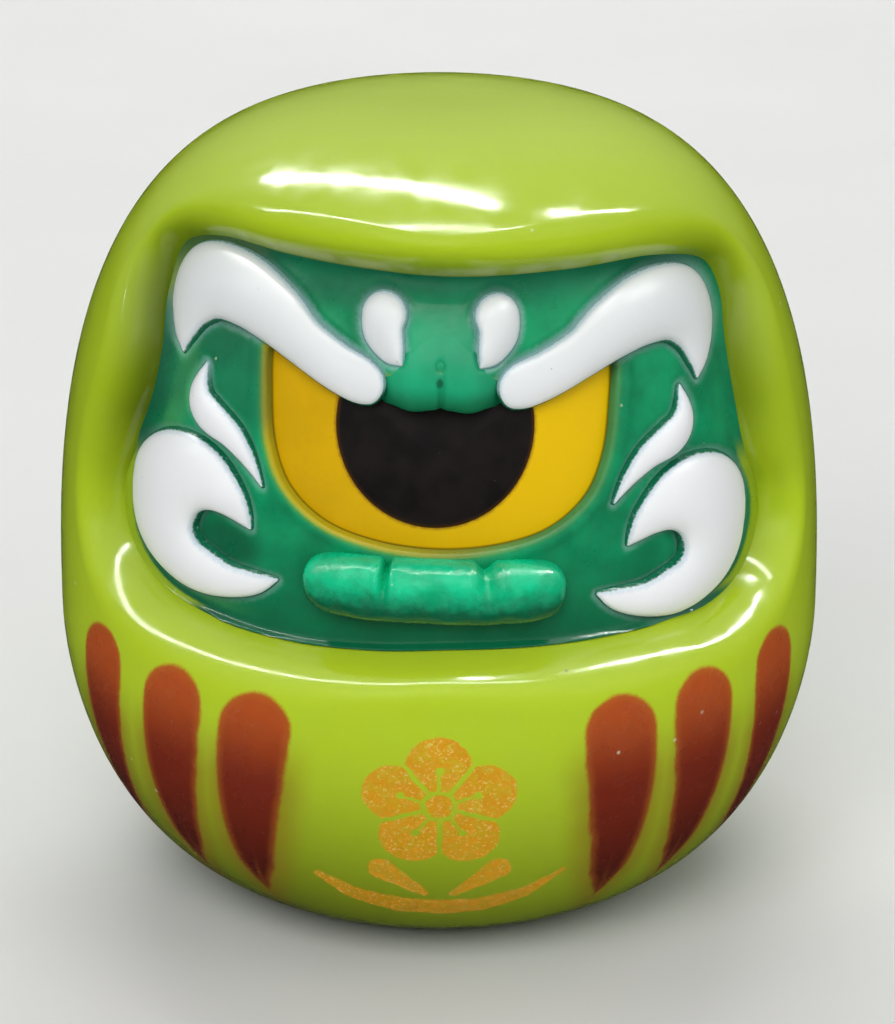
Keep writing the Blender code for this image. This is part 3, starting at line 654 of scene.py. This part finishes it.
def make_steel_material():
    """Zinc-plated steel with a fine grain."""
    g = Graph("ballast_zinc")
    stretched = g.field("ShaderNodeMapping", 0, {"Vector": g.place, "Scale": (0.3, 0.3, 6.0)})
    grain = g.noise(1.5, 5.0, 0.6, stretched)
    g.colour = g.mix(g.noise(0.3, 4.0).ramp(0.35, 0.65), (0.50, 0.51, 0.53), (0.38, 0.39, 0.40))
    g.tint(grain * 0.3, (0.62, 0.62, 0.64))
    g.set("Metallic", 1.0)
    rough = grain.ramp(0.3, 0.7, 0.28, 0.45)
    return g.finished(rough, (grain, 0.3, 0.03), (1.0, 4.0, 0.2, 0.05))


# ---- curves and surfaces


def spline(points, steps, closed):
    """Catmull-Rom curve through rows of numbers."""
    points = np.asarray(points, float)
    count = len(points)
    t = np.arange(steps)[:, None] / steps
    weights = ((-t + 2 * t * t - t ** 3) / 2, (2 - 5 * t * t + 3 * t ** 3) / 2,
               (t + 4 * t * t - 3 * t ** 3) / 2, (-t * t + t ** 3) / 2)
    spans = np.arange(count if closed else count - 1)
    curve = 0.0
    for weight, k in zip(weights, (-1, 0, 1, 2)):
        near = (spans + k) % count if closed else np.clip(spans + k, 0, count - 1)
        curve = curve + weight * points[near][:, None]
    curve = curve.reshape(-1, points.shape[1])
    return curve if closed else np.concatenate((curve, points[-1:]))


def bell(value, middle, width):
    return np.exp(-((value - middle) / width) ** 2)


def between(value, start, end):
    """Share of the way from start to end, held to 0 and 1 outside it."""
    return np.clip((value - start) / (end - start), 0.0, 1.0)


def smooth(share):
    return share * share * (3.0 - 2.0 * share)


def turn_about(x, z, middle, angle):
    """Turn points in the face's plane anticlockwise about a middle."""
    dx = x - middle[0]
    dz = z - middle[1]
    cosine = math.cos(angle)
    sine = math.sin(angle)
    return middle[0] + cosine * dx - sine * dz, middle[1] + sine * dx + cosine * dz


def rolled(x, z):
    """Turn points as the whole face is turned: its right side hangs lower."""
    return turn_about(x, z, FACE_MIDDLE, -FACE_ROLL)


def unrolled(x, z):
    return turn_about(x, z, FACE_MIDDLE, FACE_ROLL)


def placed(stations, outward, upward, tilt):
    """Move a stroke and turn it about the mean of its stations, so that its outer end tilts up."""
    x, z, half = np.asarray(stations, float).T
    x, z = turn_about(x, z, (x.mean(), z.mean()), math.radians(tilt))
    return np.stack((x + outward, z + upward, half), -1)


def mirrored(half):
    return list(half) + [(-x, z) for x, z in reversed(half[1:-1])]


ANGLES = math.tau * (np.arange(COLUMNS) + 0.5) / COLUMNS


def polar_radii(outline):
    """Distance from the face's middle to a closed outline along each column's angle."""
    outline = np.asarray(outline)
    dx = outline[:, 0] - FACE_MIDDLE[0]
    dz = outline[:, 1] - FACE_MIDDLE[1]
    around = np.arctan2(dz, dx) % math.tau
    order = np.argsort(around)
    return np.interp(ANGLES, around[order], np.hypot(dx, dz)[order], period=math.tau)


def smoothed_rings(values, passes):
    """Blur values round the columns, which takes the corners off a coarse outline."""
    for _ in range(passes):
        values = (np.roll(values, 1, 0) + 2 * values + np.roll(values, -1, 0)) / 4
    return values


def body_radius(z):
    up = between(z, WIDEST_LEVEL, BODY_HEIGHT)
    down = between(z, WIDEST_LEVEL, UNCUT_BOTTOM)
    crown = (1.0 - up ** CROWN_EXPONENTS[0]) ** (1.0 / CROWN_EXPONENTS[1])
    base = (1.0 - down ** BASE_EXPONENTS[0]) ** (1.0 / BASE_EXPONENTS[1])
    return BODY_RADIUS * np.where(z >= WIDEST_LEVEL, crown, base)


def unit(vectors):
    return vectors / np.linalg.norm(vectors, axis=-1, keepdims=True)


def body_points(directions):
    """Where rays from the core leave the body."""
    near = np.zeros(directions.shape[:-1])
    far = np.full(directions.shape[:-1], 2.0 * BODY_RADIUS)
    for _ in range(40):
        middle = (near + far) / 2
        point = CORE + directions * middle[..., None]
        z = point[..., 2]
        inside = (z > UNCUT_BOTTOM) & (z < BODY_HEIGHT)
        inside &= np.hypot(point[..., 0], point[..., 1]) < body_radius(z)
        near = np.where(inside, middle, near)
        far = np.where(inside, far, middle)
    return CORE + directions * near[..., None]


def body_normals(points):
    step = 0.05
    z = points[..., 2]
    slope = (body_radius(z + step) - body_radius(z - step)) / (2 * step)
    reach = np.maximum(np.hypot(points[..., 0], points[..., 1]), 1e-6)
    return unit(np.stack((points[..., 0] / reach, points[..., 1] / reach, -slope), -1))


def face_surface(x, z, out=0.0):
    """Points on the face's floor, raised by out along the line from the core."""
    core_radius = body_radius(z) - FACE_DEPTH
    bend = FACE_FLATNESS * core_radius
    y = (FACE_FLATNESS - 1.0) * core_radius - np.sqrt(np.maximum(bend * bend - x * x, 0.0))
    surface = np.stack(np.broadcast_arrays(x, y, z), -1)
    return surface + unit(surface - CORE) * np.asarray(out)[..., None]


def face_ring(radii, out=0.0):
    x = FACE_MIDDLE[0] + radii * np.cos(ANGLES)
    z = FACE_MIDDLE[1] + radii * np.sin(ANGLES)
    return face_surface(x, z, np.broadcast_to(out, x.shape))


OPENING_RADII = polar_radii(spline(OPENING, 24, True))
HOLE_OUTLINE = np.stack(rolled(*spline(mirrored(EYE_HOLE_HALF), 24, True).T), -1)
HOLE_RADII = polar_radii(HOLE_OUTLINE)

# ---- meshes


def add_piece(name, points, faces, material, sharp=None, attributes=None):
    """Smooth-shaded object from points in millimetres. Its faces are turned to point outwards."""
    points = np.asarray(points, float).reshape(-1, 3)
    mesh = bpy.data.meshes.new(name)
    mesh.from_pydata((points * MM).tolist(), [], faces)
    mesh.validate()
    mesh.update()
    mesh.calc_loop_triangles()
    corners = np.empty(len(mesh.loop_triangles) * 3, int)
    mesh.loop_triangles.foreach_get("vertices", corners)
    a, b, c = (points[corners.reshape(-1, 3)[:, i]] for i in range(3))
    if np.einsum("ij,ij->i", a, np.cross(b, c)).sum() < 0.0:
        mesh.flip_normals()
    for label, values in (attributes or {}).items():
        layer = mesh.attributes.new(label, "FLOAT", "POINT")
        layer.data.foreach_set("value", np.asarray(values, np.float32).ravel())
    mesh.shade_smooth()
    if sharp is not None:
        mesh.set_sharp_from_angle(angle=math.radians(sharp))
    mesh.materials.append(material)
    return add_object(name, mesh)


def loft_faces(rings, columns, looped=False):
    """Quads between neighbouring rings, and from the last ring back to the first one if looped."""
    faces = []
    for lower in range(rings if looped else rings - 1):
        upper = (lower + 1) % rings
        for i in range(columns):
            j = (i + 1) % columns
            faces.append((lower * columns + i, lower * columns + j, upper * columns + j, upper * columns + i))
    return faces


def add_loft(name, rings, material, sharp=None, attributes=None):
    """Closed piece from rings of points, with a fan round the middle of each end ring."""
    rings = np.asarray(rings, float)
    count, columns = rings.shape[:2]

    def with_middles(values):
        return np.concatenate((values, [values[:columns].mean(axis=0), values[-columns:].mean(axis=0)]))

    faces = loft_faces(count, columns)
    for centre, first in enumerate((0, (count - 1) * columns), count * columns):
        for i in range(columns):
            faces.append((first + i, first + (i + 1) % columns, centre))
    attributes = {label: with_middles(np.ravel(values)) for label, values in (attributes or {}).items()}
    return add_piece(name, with_middles(rings.reshape(-1, 3)), faces, material, sharp, attributes)


def circles(profile):
    """Rings round the Z axis for pairs of radius and level."""
    around = math.tau * np.arange(TURNED_STEPS) / TURNED_STEPS
    return [np.stack((radius * np.cos(around), radius * np.sin(around), np.full_like(around, level)), -1)
            for radius, level in profile]


def stand_for(piece, slot, *nodes):
    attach(piece, "root")
    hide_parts(*nodes)


# ---- body


def opening_frames():
    creases = face_ring(OPENING_RADII)
    tangents = np.roll(creases, -1, 0) - np.roll(creases, 1, 0)
    inward = unit(CORE - creases)
    sideways = unit(np.cross(inward, tangents))
    middle = face_surface(np.array(FACE_MIDDLE[0]), np.array(FACE_MIDDLE[1]))
    facing = np.sign(np.einsum("ij,ij->i", sideways, creases - middle))
    return creases, inward, sideways * facing[:, None]


def roll_starts(creases, sideways):
    upright = np.sin(ANGLES)
    end_width = np.where(upright > 0.0, ROLL_WIDTH_TOP, ROLL_WIDTH_BOTTOM)
    width = ROLL_WIDTH_SIDE * np.abs(np.cos(ANGLES)) ** 1.5 + end_width * np.abs(upright) ** 1.5
    starts = creases + sideways * width[:, None]
    passes = round(ROLL_SMOOTHING * (COLUMNS / CAD_COLUMNS) ** 2)
    return body_points(unit(smoothed_rings(starts, passes) - CORE))


def roll_rings(creases, inward, starts):
    normals = body_normals(starts)
    across = creases - starts
    flat = across - normals * np.einsum("ij,ij->i", across, normals)[:, None]
    span = np.linalg.norm(across, axis=1)[:, None]
    handle_out = starts + unit(flat) * span * ROLL_HANDLE_OUT
    handle_in = creases - inward * span * ROLL_HANDLE_IN
    rings = []
    for step in range(ROLL_RINGS + 1):
        t = step / ROLL_RINGS
        s = 1.0 - t
        outer = starts * s ** 3 + handle_out * 3 * s * s * t
        rings.append(outer + handle_in * 3 * s * t * t + creases * t ** 3)
    return rings


def sweep_rings(starts, count, inset):
    """Rings over the body from near the back pole to the start points."""
    first = unit(starts - CORE)
    pole = np.array((0.0, 1.0, 0.0))
    whole = np.arccos(np.clip(first @ pole, -1.0, 1.0))[:, None]
    rings = []
    for step in range(count):
        share = 1.0 - (step + 1) / (count + 1)
        direction = (np.sin((1 - share) * whole) * first + np.sin(share * whole) * pole) / np.sin(whole)
        points = body_points(unit(direction))
        rings.append(points - body_normals(points) * inset)
    return rings


def rim_shade(crease):
    """Strength of the painted olive shade round the opening: strong under the hood, weaker at its corners."""
    upright = np.sin(ANGLES)
    sidewards = np.abs(np.cos(ANGLES))
    strength = 0.90 + 0.215 * upright - 0.565 * upright ** 2 - 0.15 * np.cos(ANGLES)
    strength = np.clip(strength, 0.12, 1.0) * (0.15 + 0.85 * between(upright, -0.30, 0.0))
    strength *= 1.0 - 0.5 * bell(sidewards, 0.75, 0.13) * (upright > 0.0)
    reach = np.where(upright > 0.0, 2.8 + 1.8 * upright ** 8 + 4.1 * sidewards ** 4, 6.7)
    return smooth(between(crease, reach, 0.7)) * strength


def make_body(material):
    """Hollow shell: over the back, round the rolled rim, in past the face plate's seat, and back inside."""
    creases, inward, sideways = opening_frames()
    starts = roll_starts(creases, sideways)
    outside = sweep_rings(starts, BACK_RINGS, 0.0) + roll_rings(creases, inward, starts)
    set_back = 4.8
    inner_starts = body_points(unit(starts + sideways * set_back - CORE))
    inside = sweep_rings(inner_starts, INNER_RINGS, WALL)[::-1]
    seat = PLATE_THICKNESS + 0.6
    back = PLATE_THICKNESS + 2.2
    wall = [creases + inward * depth for depth in (0.6, 1.4, seat)]
    wall += [face_ring(OPENING_RADII - 2.0, -depth) for depth in (seat, back)]
    wall.append(creases + inward * back + sideways * WALL * 0.5)
    rings = np.array(outside + wall + inside)
    steps = np.linalg.norm(np.diff(rings[:len(outside)], axis=0), axis=2)
    crease = np.zeros(rings.shape[:2])
    crease[:len(outside) - 1] = np.cumsum(steps[::-1], axis=0)[::-1]
    body = add_loft("vinyl_body", rings, material, 40.0, {"crease": crease, "painted_rim_shade": rim_shade(crease)})
    open_sole(body)
    stand_for(body, "lime_vinyl", "body_shell")


def open_sole(body):
    """Flatten the sole and open it for the plug, with one turned cutter that is removed again."""
    reach = 50.0
    profile = ((reach, -10.0), (reach, 0.0), (SOLE_HOLE_RADIUS, 0.0), (SOLE_HOLE_RADIUS, 6.0))
    cutter = add_loft("sole_cutter", circles(profile), bpy.data.materials.new("cutter_grey"))
    boolean = body.modifiers.new(cutter.name, "BOOLEAN")
    boolean.object = cutter
    boolean.operation = "DIFFERENCE"
    boolean.solver = "EXACT"
    graph = bpy.context.evaluated_depsgraph_get()
    cut_body = body.evaluated_get(graph)
    cut_mesh = bpy.data.meshes.new_from_object(cut_body, preserve_all_data_layers=True, depsgraph=graph)
    body.modifiers.clear()
    body.data = cut_mesh
    bpy.data.objects.remove(cutter)


# ---- face


def depth_inside(spine, x, z):
    """How far points lie inside the union of a stroke's discs. Outside it the number is negative."""
    depth = np.full(x.shape, -99.0)
    for px, pz, half in spine:
        depth = np.maximum(depth, half - np.hypot(x - px, z - pz))
    return depth


def mark_distances(x, z):
    """Distance in the face's plane to the nearest raised mark."""
    x, z = unrolled(x, z)
    nearest = np.full(x.shape, 99.0)
    for _, stations, _, places in MARKS:
        for (side, _), place in zip(SIDES, places):
            spine = spline(placed(stations, *place), SPINE_STEPS, False)
            nearest = np.minimum(nearest, -depth_inside(spine, side * x, z))
    return nearest


def nose_height(x, z):
    """Swelling of the forehead that carries the bridge of the nose."""
    across = np.exp(-(np.abs(x) / 4.6) ** 3.5)
    return np.where(z > 49.0, 2.3 * smooth(between(z, 59.8, 52.2)) * across, 0.0)


def make_face_skin(material):
    """Face panel: its floor from the rim to the eye hole, the hole's wall and the back.

    The floor has valleys along the marks, lips above the brows and round the eye, and a bead below.
    """
    shares = np.linspace(0.0, 1.0, SKIN_RINGS)
    shares = 0.5 - 0.5 * np.cos(math.pi * shares)
    tuck = 0.12
    outer = OPENING_RADII + tuck
    radii = np.array([outer + (HOLE_RADII - outer) * share for share in shares])
    x = FACE_MIDDLE[0] + radii * np.cos(ANGLES)
    z = FACE_MIDDLE[1] + radii * np.sin(ANGLES)
    rim = np.maximum(OPENING_RADII - radii, 0.0)
    hole = radii - HOLE_RADII
    mark = mark_distances(x, z)
    face_x, face_z = unrolled(x, z)
    out = 0.45 * np.exp(-rim / 0.45)
    out += 0.42 * bell(rim, 0.20, 0.15) * between(z, 37.0, 35.0) * between(np.abs(x), 19.5, 17.5)
    out -= 0.25 * bell(np.maximum(mark, 0.0), 0.0, 0.30)
    out += 0.07 * bell(mark, 0.75, 0.30) * between(face_z, 53.0, 55.0)
    out += 0.15 * bell(hole, 0.9, 0.5)
    out += nose_height(face_x, face_z)
    edge = 0.40
    out -= edge - np.sqrt(np.maximum(edge ** 2 - np.clip(edge - hole, 0.0, edge) ** 2, 0.0))
    rings = list(face_surface(x, z, out))
    rings += [face_ring(HOLE_RADII, -depth) for depth in (1.0, 1.6, 2.1)]
    for share in (0.05, 0.5, 0.97):
        rings.append(face_ring(HOLE_RADII + (outer - HOLE_RADII) * share, -PLATE_THICKNESS))
    count = len(rings)

    attributes = {}
    for label, values, filler in (("mark", mark, 9.0), ("rim", rim, 9.0), ("hole", hole, 0.0)):
        attributes[label] = np.concatenate((values, np.full((count - SKIN_RINGS, COLUMNS), filler)))
    faces = loft_faces(count, COLUMNS, looped=True)
    skin = add_piece("face_skin", rings, faces, material, 60.0, attributes)
    stand_for(skin, "face_green", "face_plate")


def pupil_radii():
    around = math.tau * np.arange(360) / 360
    x = PUPIL_MIDDLE[0] + PUPIL_RADIUS * np.cos(around)
    z = np.minimum(PUPIL_MIDDLE[1] + PUPIL_RADIUS * np.sin(around), PUPIL_TOP)
    return polar_radii(np.stack((x, z), -1))


def eye_ring(radii, out):
    """Ring on the domed eye, which bulges forward through the eye hole."""
    bulge = EYE_BULGE * np.maximum(1.0 - (radii / HOLE_RADII) ** 2, 0.0)
    return face_ring(radii, bulge - EYE_SETBACK + out)


def make_eye():
    """Domed iris with a well for the pupil, and the pupil disc, which stands a little proud of it."""
    pupil = pupil_radii()
    gap = 0.05
    lap = 1.4
    well = pupil + gap
    edge = HOLE_RADII + lap
    away = np.full(COLUMNS, 9.0)
    layers = [(radii, -1.1, away, np.zeros(COLUMNS)) for radii in (pupil * 0.4, well)]
    for step in range(EYE_RINGS + 1):
        radii = well + (edge - well) * step / EYE_RINGS
        layers.append((radii, 0.0, np.maximum(HOLE_RADII - radii, 0.0), radii - pupil))
    layers += [(edge * share, -EYE_THICKNESS, away, away) for share in (1.0, 0.7, 0.35)]
    rings = [eye_ring(radii, out) for radii, out, _, _ in layers]
    attributes = {"hole": [layer[2] for layer in layers], "pupil": [layer[3] for layer in layers]}
    stand_for(add_loft("iris", rings, make_iris_material(), 50.0, attributes), "iris_yellow", "eye_iris")

    rings = []
    edges = []
    steps = 16
    for step in range(steps + 1):
        share = math.sin(0.5 * math.pi * (step + 1) / (steps + 1))
        rings.append(eye_ring(pupil * share, 0.06 * (1.0 - share ** 12) ** 0.5))
        edges.append(pupil * (1.0 - share))
    for share, depth in ((1.0, -0.3), (1.0, -PUPIL_THICKNESS), (0.5, -PUPIL_THICKNESS)):
        rings.append(eye_ring(pupil * share, depth))
        edges.append(np.zeros(COLUMNS))
    disc = add_loft("pupil", rings, make_pupil_material(), 50.0, {"edge": edges})
    stand_for(disc, "pupil_black", "eye_pupil")


# ---- raised marks


def on_face(x, z, side, out):
    """Points raised over the face and its swelling. Side is -1 to mirror them to the left, or 1."""
    rolled_x, rolled_z = rolled(side * x, z)
    return face_surface(rolled_x, rolled_z, out + nose_height(x, np.maximum(z, 50.0)) * (z > 48.0))


def mark_surface(x, z, side, out):
    """Like on_face, but raised halfway between the line from the core and straight ahead."""
    floor = on_face(x, z, side, np.zeros_like(x))
    ahead = unit(unit(floor - CORE) + np.array((0.0, -MARK_LEAN, 0.0)))
    return floor + ahead * out[..., None]


def softened(depth, x, z, radius):
    """Round off the concave corners of an outline that a disc of the radius can't reach into."""
    level = depth + radius
    crossings = []
    for down, along in ((1, 0), (0, 1)):
        beyond = np.roll(level, (-down, -along), (0, 1))
        i, j = np.nonzero((level > 0.0) != (beyond > 0.0))
        share = level[i, j] / (level[i, j] - beyond[i, j])
        crossings += zip(*(grid[i, j] + (grid[i + down, j + along] - grid[i, j]) * share for grid in (x, z)))
    nearest = np.full(depth.shape, 99.0)
    for px, pz in crossings:
        nearest = np.minimum(nearest, np.hypot(x - px, z - pz))
    return np.where(level > 0.0, nearest - radius, depth)


def inflated(depth, cell):
    """Height of a membrane blown up inside the outline where depth is 0, by successive over-relaxation."""
    inside = depth > 0.0
    swell = np.where(inside, depth * depth.max(), 0.0)
    row, column = np.indices(depth.shape)
    for step in range(240):
        near = np.roll(swell, 1, 0) + np.roll(swell, -1, 0) + np.roll(swell, 1, 1) + np.roll(swell, -1, 1)
        fresh = 1.85 * (near + cell * cell) / 4.0 - 0.85 * swell
        swell = np.where(inside & ((row + column + step) % 2 == 0), fresh, swell)
    slope = np.where(depth > 3.0 * cell, swell / np.maximum(depth, cell), 0.0)
    known = (depth > 3.0 * cell).astype(float)
    for _ in range(14):
        total = slope.copy()
        weight = known.copy()
        for axis in (0, 1):
            for shift in (-1, 1):
                total += np.roll(slope, shift, axis)
                weight += np.roll(known, shift, axis)
        filled = total / np.maximum(weight, 1.0)
        slope = np.where(known > 0.0, slope, filled)
        known = np.maximum(known, (weight > 0.0).astype(float))
    return np.maximum(slope * depth, 0.0)


def contour_mesh(depth):
    """Cells and cut cells where depth is positive, as corner places in grid steps and polygons of them."""
    rows, columns = depth.shape
    places = []
    index = {}

    def place_on(first, second):
        """Where the outline crosses a cell's side, or its corner where first and second are the same."""
        a, b = sorted((first, second))
        if (a, b) not in index:
            index[(a, b)] = len(places)
            share = 0.0 if a == b else depth[a] / (depth[a] - depth[b])
            places.append((a[0] + (b[0] - a[0]) * share, a[1] + (b[1] - a[1]) * share))
        return index[(a, b)]

    polygons = []
    inside = depth > 0.0
    for i in range(rows - 1):
        for j in range(columns - 1):
            cell = ((i, j), (i + 1, j), (i + 1, j + 1), (i, j + 1))
            if not any(inside[c] for c in cell):
                continue
            polygon = []
            for first, second in zip(cell, cell[1:] + cell[:1]):
                if inside[first]:
                    polygon.append(place_on(first, first))
                if inside[first] != inside[second]:
                    polygon.append(place_on(first, second))
            polygons.append(tuple(polygon))
    return np.array(places, float), polygons


def sampled(grid, places):
    """Read a grid between its cells."""
    i = np.clip(np.floor(places[:, 0]).astype(int), 0, grid.shape[0] - 2)
    j = np.clip(np.floor(places[:, 1]).astype(int), 0, grid.shape[1] - 2)
    u = places[:, 0] - i
    v = places[:, 1] - j
    low = grid[i, j] * (1 - u) + grid[i + 1, j] * u
    high = grid[i, j + 1] * (1 - u) + grid[i + 1, j + 1] * u
    return low * (1 - v) + high * v


def make_mark(name, node, stations, height, side, material):
    """Puffy raised mark: a membrane blown up over the stroke's outline, with its rim sunk in the face."""
    sunk = 0.45
    skirt = 0.14
    spine = spline(stations, SPINE_STEPS, False)
    margin = spine[:, 2].max() + MARK_CORNER + 0.6
    xs = np.arange(spine[:, 0].min() - margin, spine[:, 0].max() + margin, MARK_CELL)
    zs = np.arange(spine[:, 1].min() - margin, spine[:, 1].max() + margin, MARK_CELL)
    x, z = np.meshgrid(xs, zs, indexing="ij")
    depth = softened(depth_inside(spine, x, z), x, z, MARK_CORNER) + skirt
    swell = inflated(depth, MARK_CELL)
    slope_x, slope_z = np.gradient(depth)
    steep = np.maximum(np.hypot(slope_x, slope_z), 1e-6)
    facing_up = np.clip(0.30 - 0.55 * slope_z / steep + 0.45 * slope_x / steep, 0.0, 1.0)
    places, polygons = contour_mesh(depth)
    count = len(places)
    own_x = xs[0] + places[:, 0] * MARK_CELL
    own_z = zs[0] + places[:, 1] * MARK_CELL
    share = sampled(swell, places) / swell.max()
    out = -sunk + (height + sunk) * np.power(share, 0.42)
    edge = np.maximum(sampled(depth, places) - skirt, 0.0)
    top = mark_surface(own_x, own_z, side, out)
    bottom = mark_surface(own_x, own_z, side, np.full(count, -sunk - 0.15))
    faces = list(polygons) + [tuple(count + i for i in reversed(polygon)) for polygon in polygons]
    single = {}
    for polygon in polygons:
        for pair in zip(polygon, polygon[1:] + polygon[:1]):
            if pair[::-1] in single:
                del single[pair[::-1]]
            else:
                single[pair] = True
    faces += [(b, a, count + a, count + b) for a, b in single]
    attributes = {"edge": np.concatenate((edge, np.zeros(count))),
                  "upper": np.concatenate((sampled(facing_up, places), np.zeros(count)))}
    piece = add_piece(name, np.concatenate((top, bottom)), faces, material, 75.0, attributes)
    stand_for(piece, "mark_white", node)


def make_marks():
    white = make_white_material()
    for kind, stations, height, places in MARKS:
        for (side, word), place in zip(SIDES, places):
            moved = placed(stations, *place)
            make_mark(f"{kind}_{word}_paint", f"{kind}_{word}", moved, height, side, white)


# From the top of the bridge down and back under it: level, height over the swelling, half width.
NOSE_PROFILE = (
    (57.2, -0.40, 3.4), (56.2, -0.20, 3.9), (55.2, -0.02, 4.4), (54.0, 0.16, 4.8), (52.8, 0.34, 5.1),
    (51.7, 0.40, 5.2), (50.9, 0.22, 5.2), (50.3, -0.25, 5.1), (49.95, -0.95, 5.0), (50.0, -1.80, 4.8),
    (50.5, -2.80, 4.5), (51.2, -3.60, 4.3),
)


def make_nose(material):
    """Broad bridge that leaves the forehead smoothly and rolls under into two lobes over the eye."""
    profile = spline(NOSE_PROFILE, 8, False)
    level, height, half = profile.T
    low = between(level, 53.6, 51.0)
    rings = []
    for u in np.linspace(-1.0, 1.0, 121):
        x = u * half
        dome = (1.0 - u * u) ** 1.5
        lobes = bell(np.abs(x), 2.3, 1.4)
        dent = bell(x, 0.0, 0.25)
        pit = bell(x, -0.15, 0.26) * bell(level, 52.7, 0.34)
        out = height - (1.0 - dome) * 0.6 - 0.30 * dent * low + 0.22 * lobes * low - 0.55 * pit
        z = level - 0.35 * lobes * low + 0.15 * dent * low + (1.0 - dome) * 0.4 * low
        mark = mark_distances(*rolled(x, z))
        front = on_face(x, z, 1.0, out - 0.20 * bell(np.maximum(mark, 0.0), 0.0, 0.25))
        back_z = np.array((52.4, 54.0, 56.0, 57.2))
        back_x = u * np.array((4.2, 4.2, 3.6, 3.0))
        back = on_face(back_x, back_z, 1.0, np.full(4, -3.6))
        rings.append(np.concatenate((front, back)))
    nose = add_loft("nose_paint", rings, material, 70.0)
    stand_for(nose, "face_green", "nose_bridge")


def make_mouth():
    """Fat lip with a narrow nick on the left and a wider one on the right."""
    level = 35.75
    half_length = 10.4
    half_width = 2.4
    height = 2.8
    nicks = ((-3.8, 0.28, 1.0), (3.95, 0.55, 0.9))
    stations = np.sin(np.linspace(-0.5 * math.pi, 0.5 * math.pi, 161)) * 0.9985 * half_length
    stations = 0.55 * stations + 0.45 * np.linspace(-half_length, half_length, 161) * 0.9985
    angle = math.pi * np.arange(49) / 48
    upright = np.cos(angle)
    rings = []
    around = []
    for x in stations:
        reach = min(abs(x) / half_length, 0.9985)
        size = (1.0 - reach ** 7) ** (1.0 / 2.6)
        nick = sum(depth * bell(x, place, width) for place, width, depth in nicks)
        lips = sum(0.22 * bell(abs(x - place), width * 2.1, width * 0.8) for place, width, _ in nicks)
        rise = half_width * size * np.sign(upright) * np.abs(upright) ** 0.8
        upper = np.clip(upright * 1.4 + 0.35, 0.0, 1.0)
        out = height * size * np.sin(angle) ** 0.62
        out = out * (1.0 - 0.30 * nick * upper) + lips * upper * size
        lumps = np.sin(0.9 * x + 2.2 * angle) + 0.6 * np.sin(2.1 * x - 3.1 * angle + 1.0)
        out = out + 0.085 * lumps * np.sin(angle) * size
        z = level + rise - nick * np.clip(upright, 0.0, 1.0) * 0.9
        front = on_face(np.full_like(z, x), z, 1.0, out - 0.25)
        low_z = level + half_width * size * np.array((-1.0, 0.0, 1.0))
        back = on_face(np.full(3, x), low_z, 1.0, np.full(3, -0.6))
        rings.append(np.concatenate((front, back)))
        around.append(np.concatenate((angle / math.pi, np.ones(3))))
    mouth = add_loft("mouth_paint_piece", rings, make_mouth_material(), 70.0, {"around": around})
    stand_for(mouth, "mouth_green", "mouth_bar")


# ---- base


def make_plug():
    """Press-in plug: a grooved foot, a flange inside the shell and a collar round the ballast."""
    radius = 11.5
    bevel = 0.35
    profile = (
        (2.0, 0.0), (2.2, 0.25), (2.9, 0.25), (3.1, 0.0), (8.6, 0.0), (8.8, 0.25), (9.6, 0.25), (9.8, 0.0),
        (radius - bevel, 0.0), (radius - 0.1, 0.1), (radius, bevel), (radius, 2.6), (13.4, 2.6), (13.4, 3.5),
        (12.9, 4.0), (11.2, 4.0), (11.2, 12.5), (10.0, 12.5), (10.0, 4.0),
    )
    material = make_lime_material("plug_vinyl_skin", painted=False)
    stand_for(add_loft("sole_plug", circles(profile), material, 35.0), "plug_vinyl", "base_plug")


# ---- all of it

make_camera()
make_world()
make_lights()
make_floor()
bpy.context.scene.view_settings.view_transform = "Standard"
make_body(make_lime_material("lime_vinyl_skin"))
make_face_skin(make_green_material(
    "face_green_paint", (0.001, 0.190, 0.072), (0.002, 0.320, 0.125), 0.24, skin=True))
make_eye()
make_marks()
make_nose(make_green_material("nose_green_paint", (0.001, 0.205, 0.080), (0.003, 0.36, 0.155), 0.30))
make_mouth()
make_plug()
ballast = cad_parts["ballast_weight"]
ballast.data.materials.clear()
ballast.data.materials.append(make_steel_material())

bpy.context.view_layer.update()
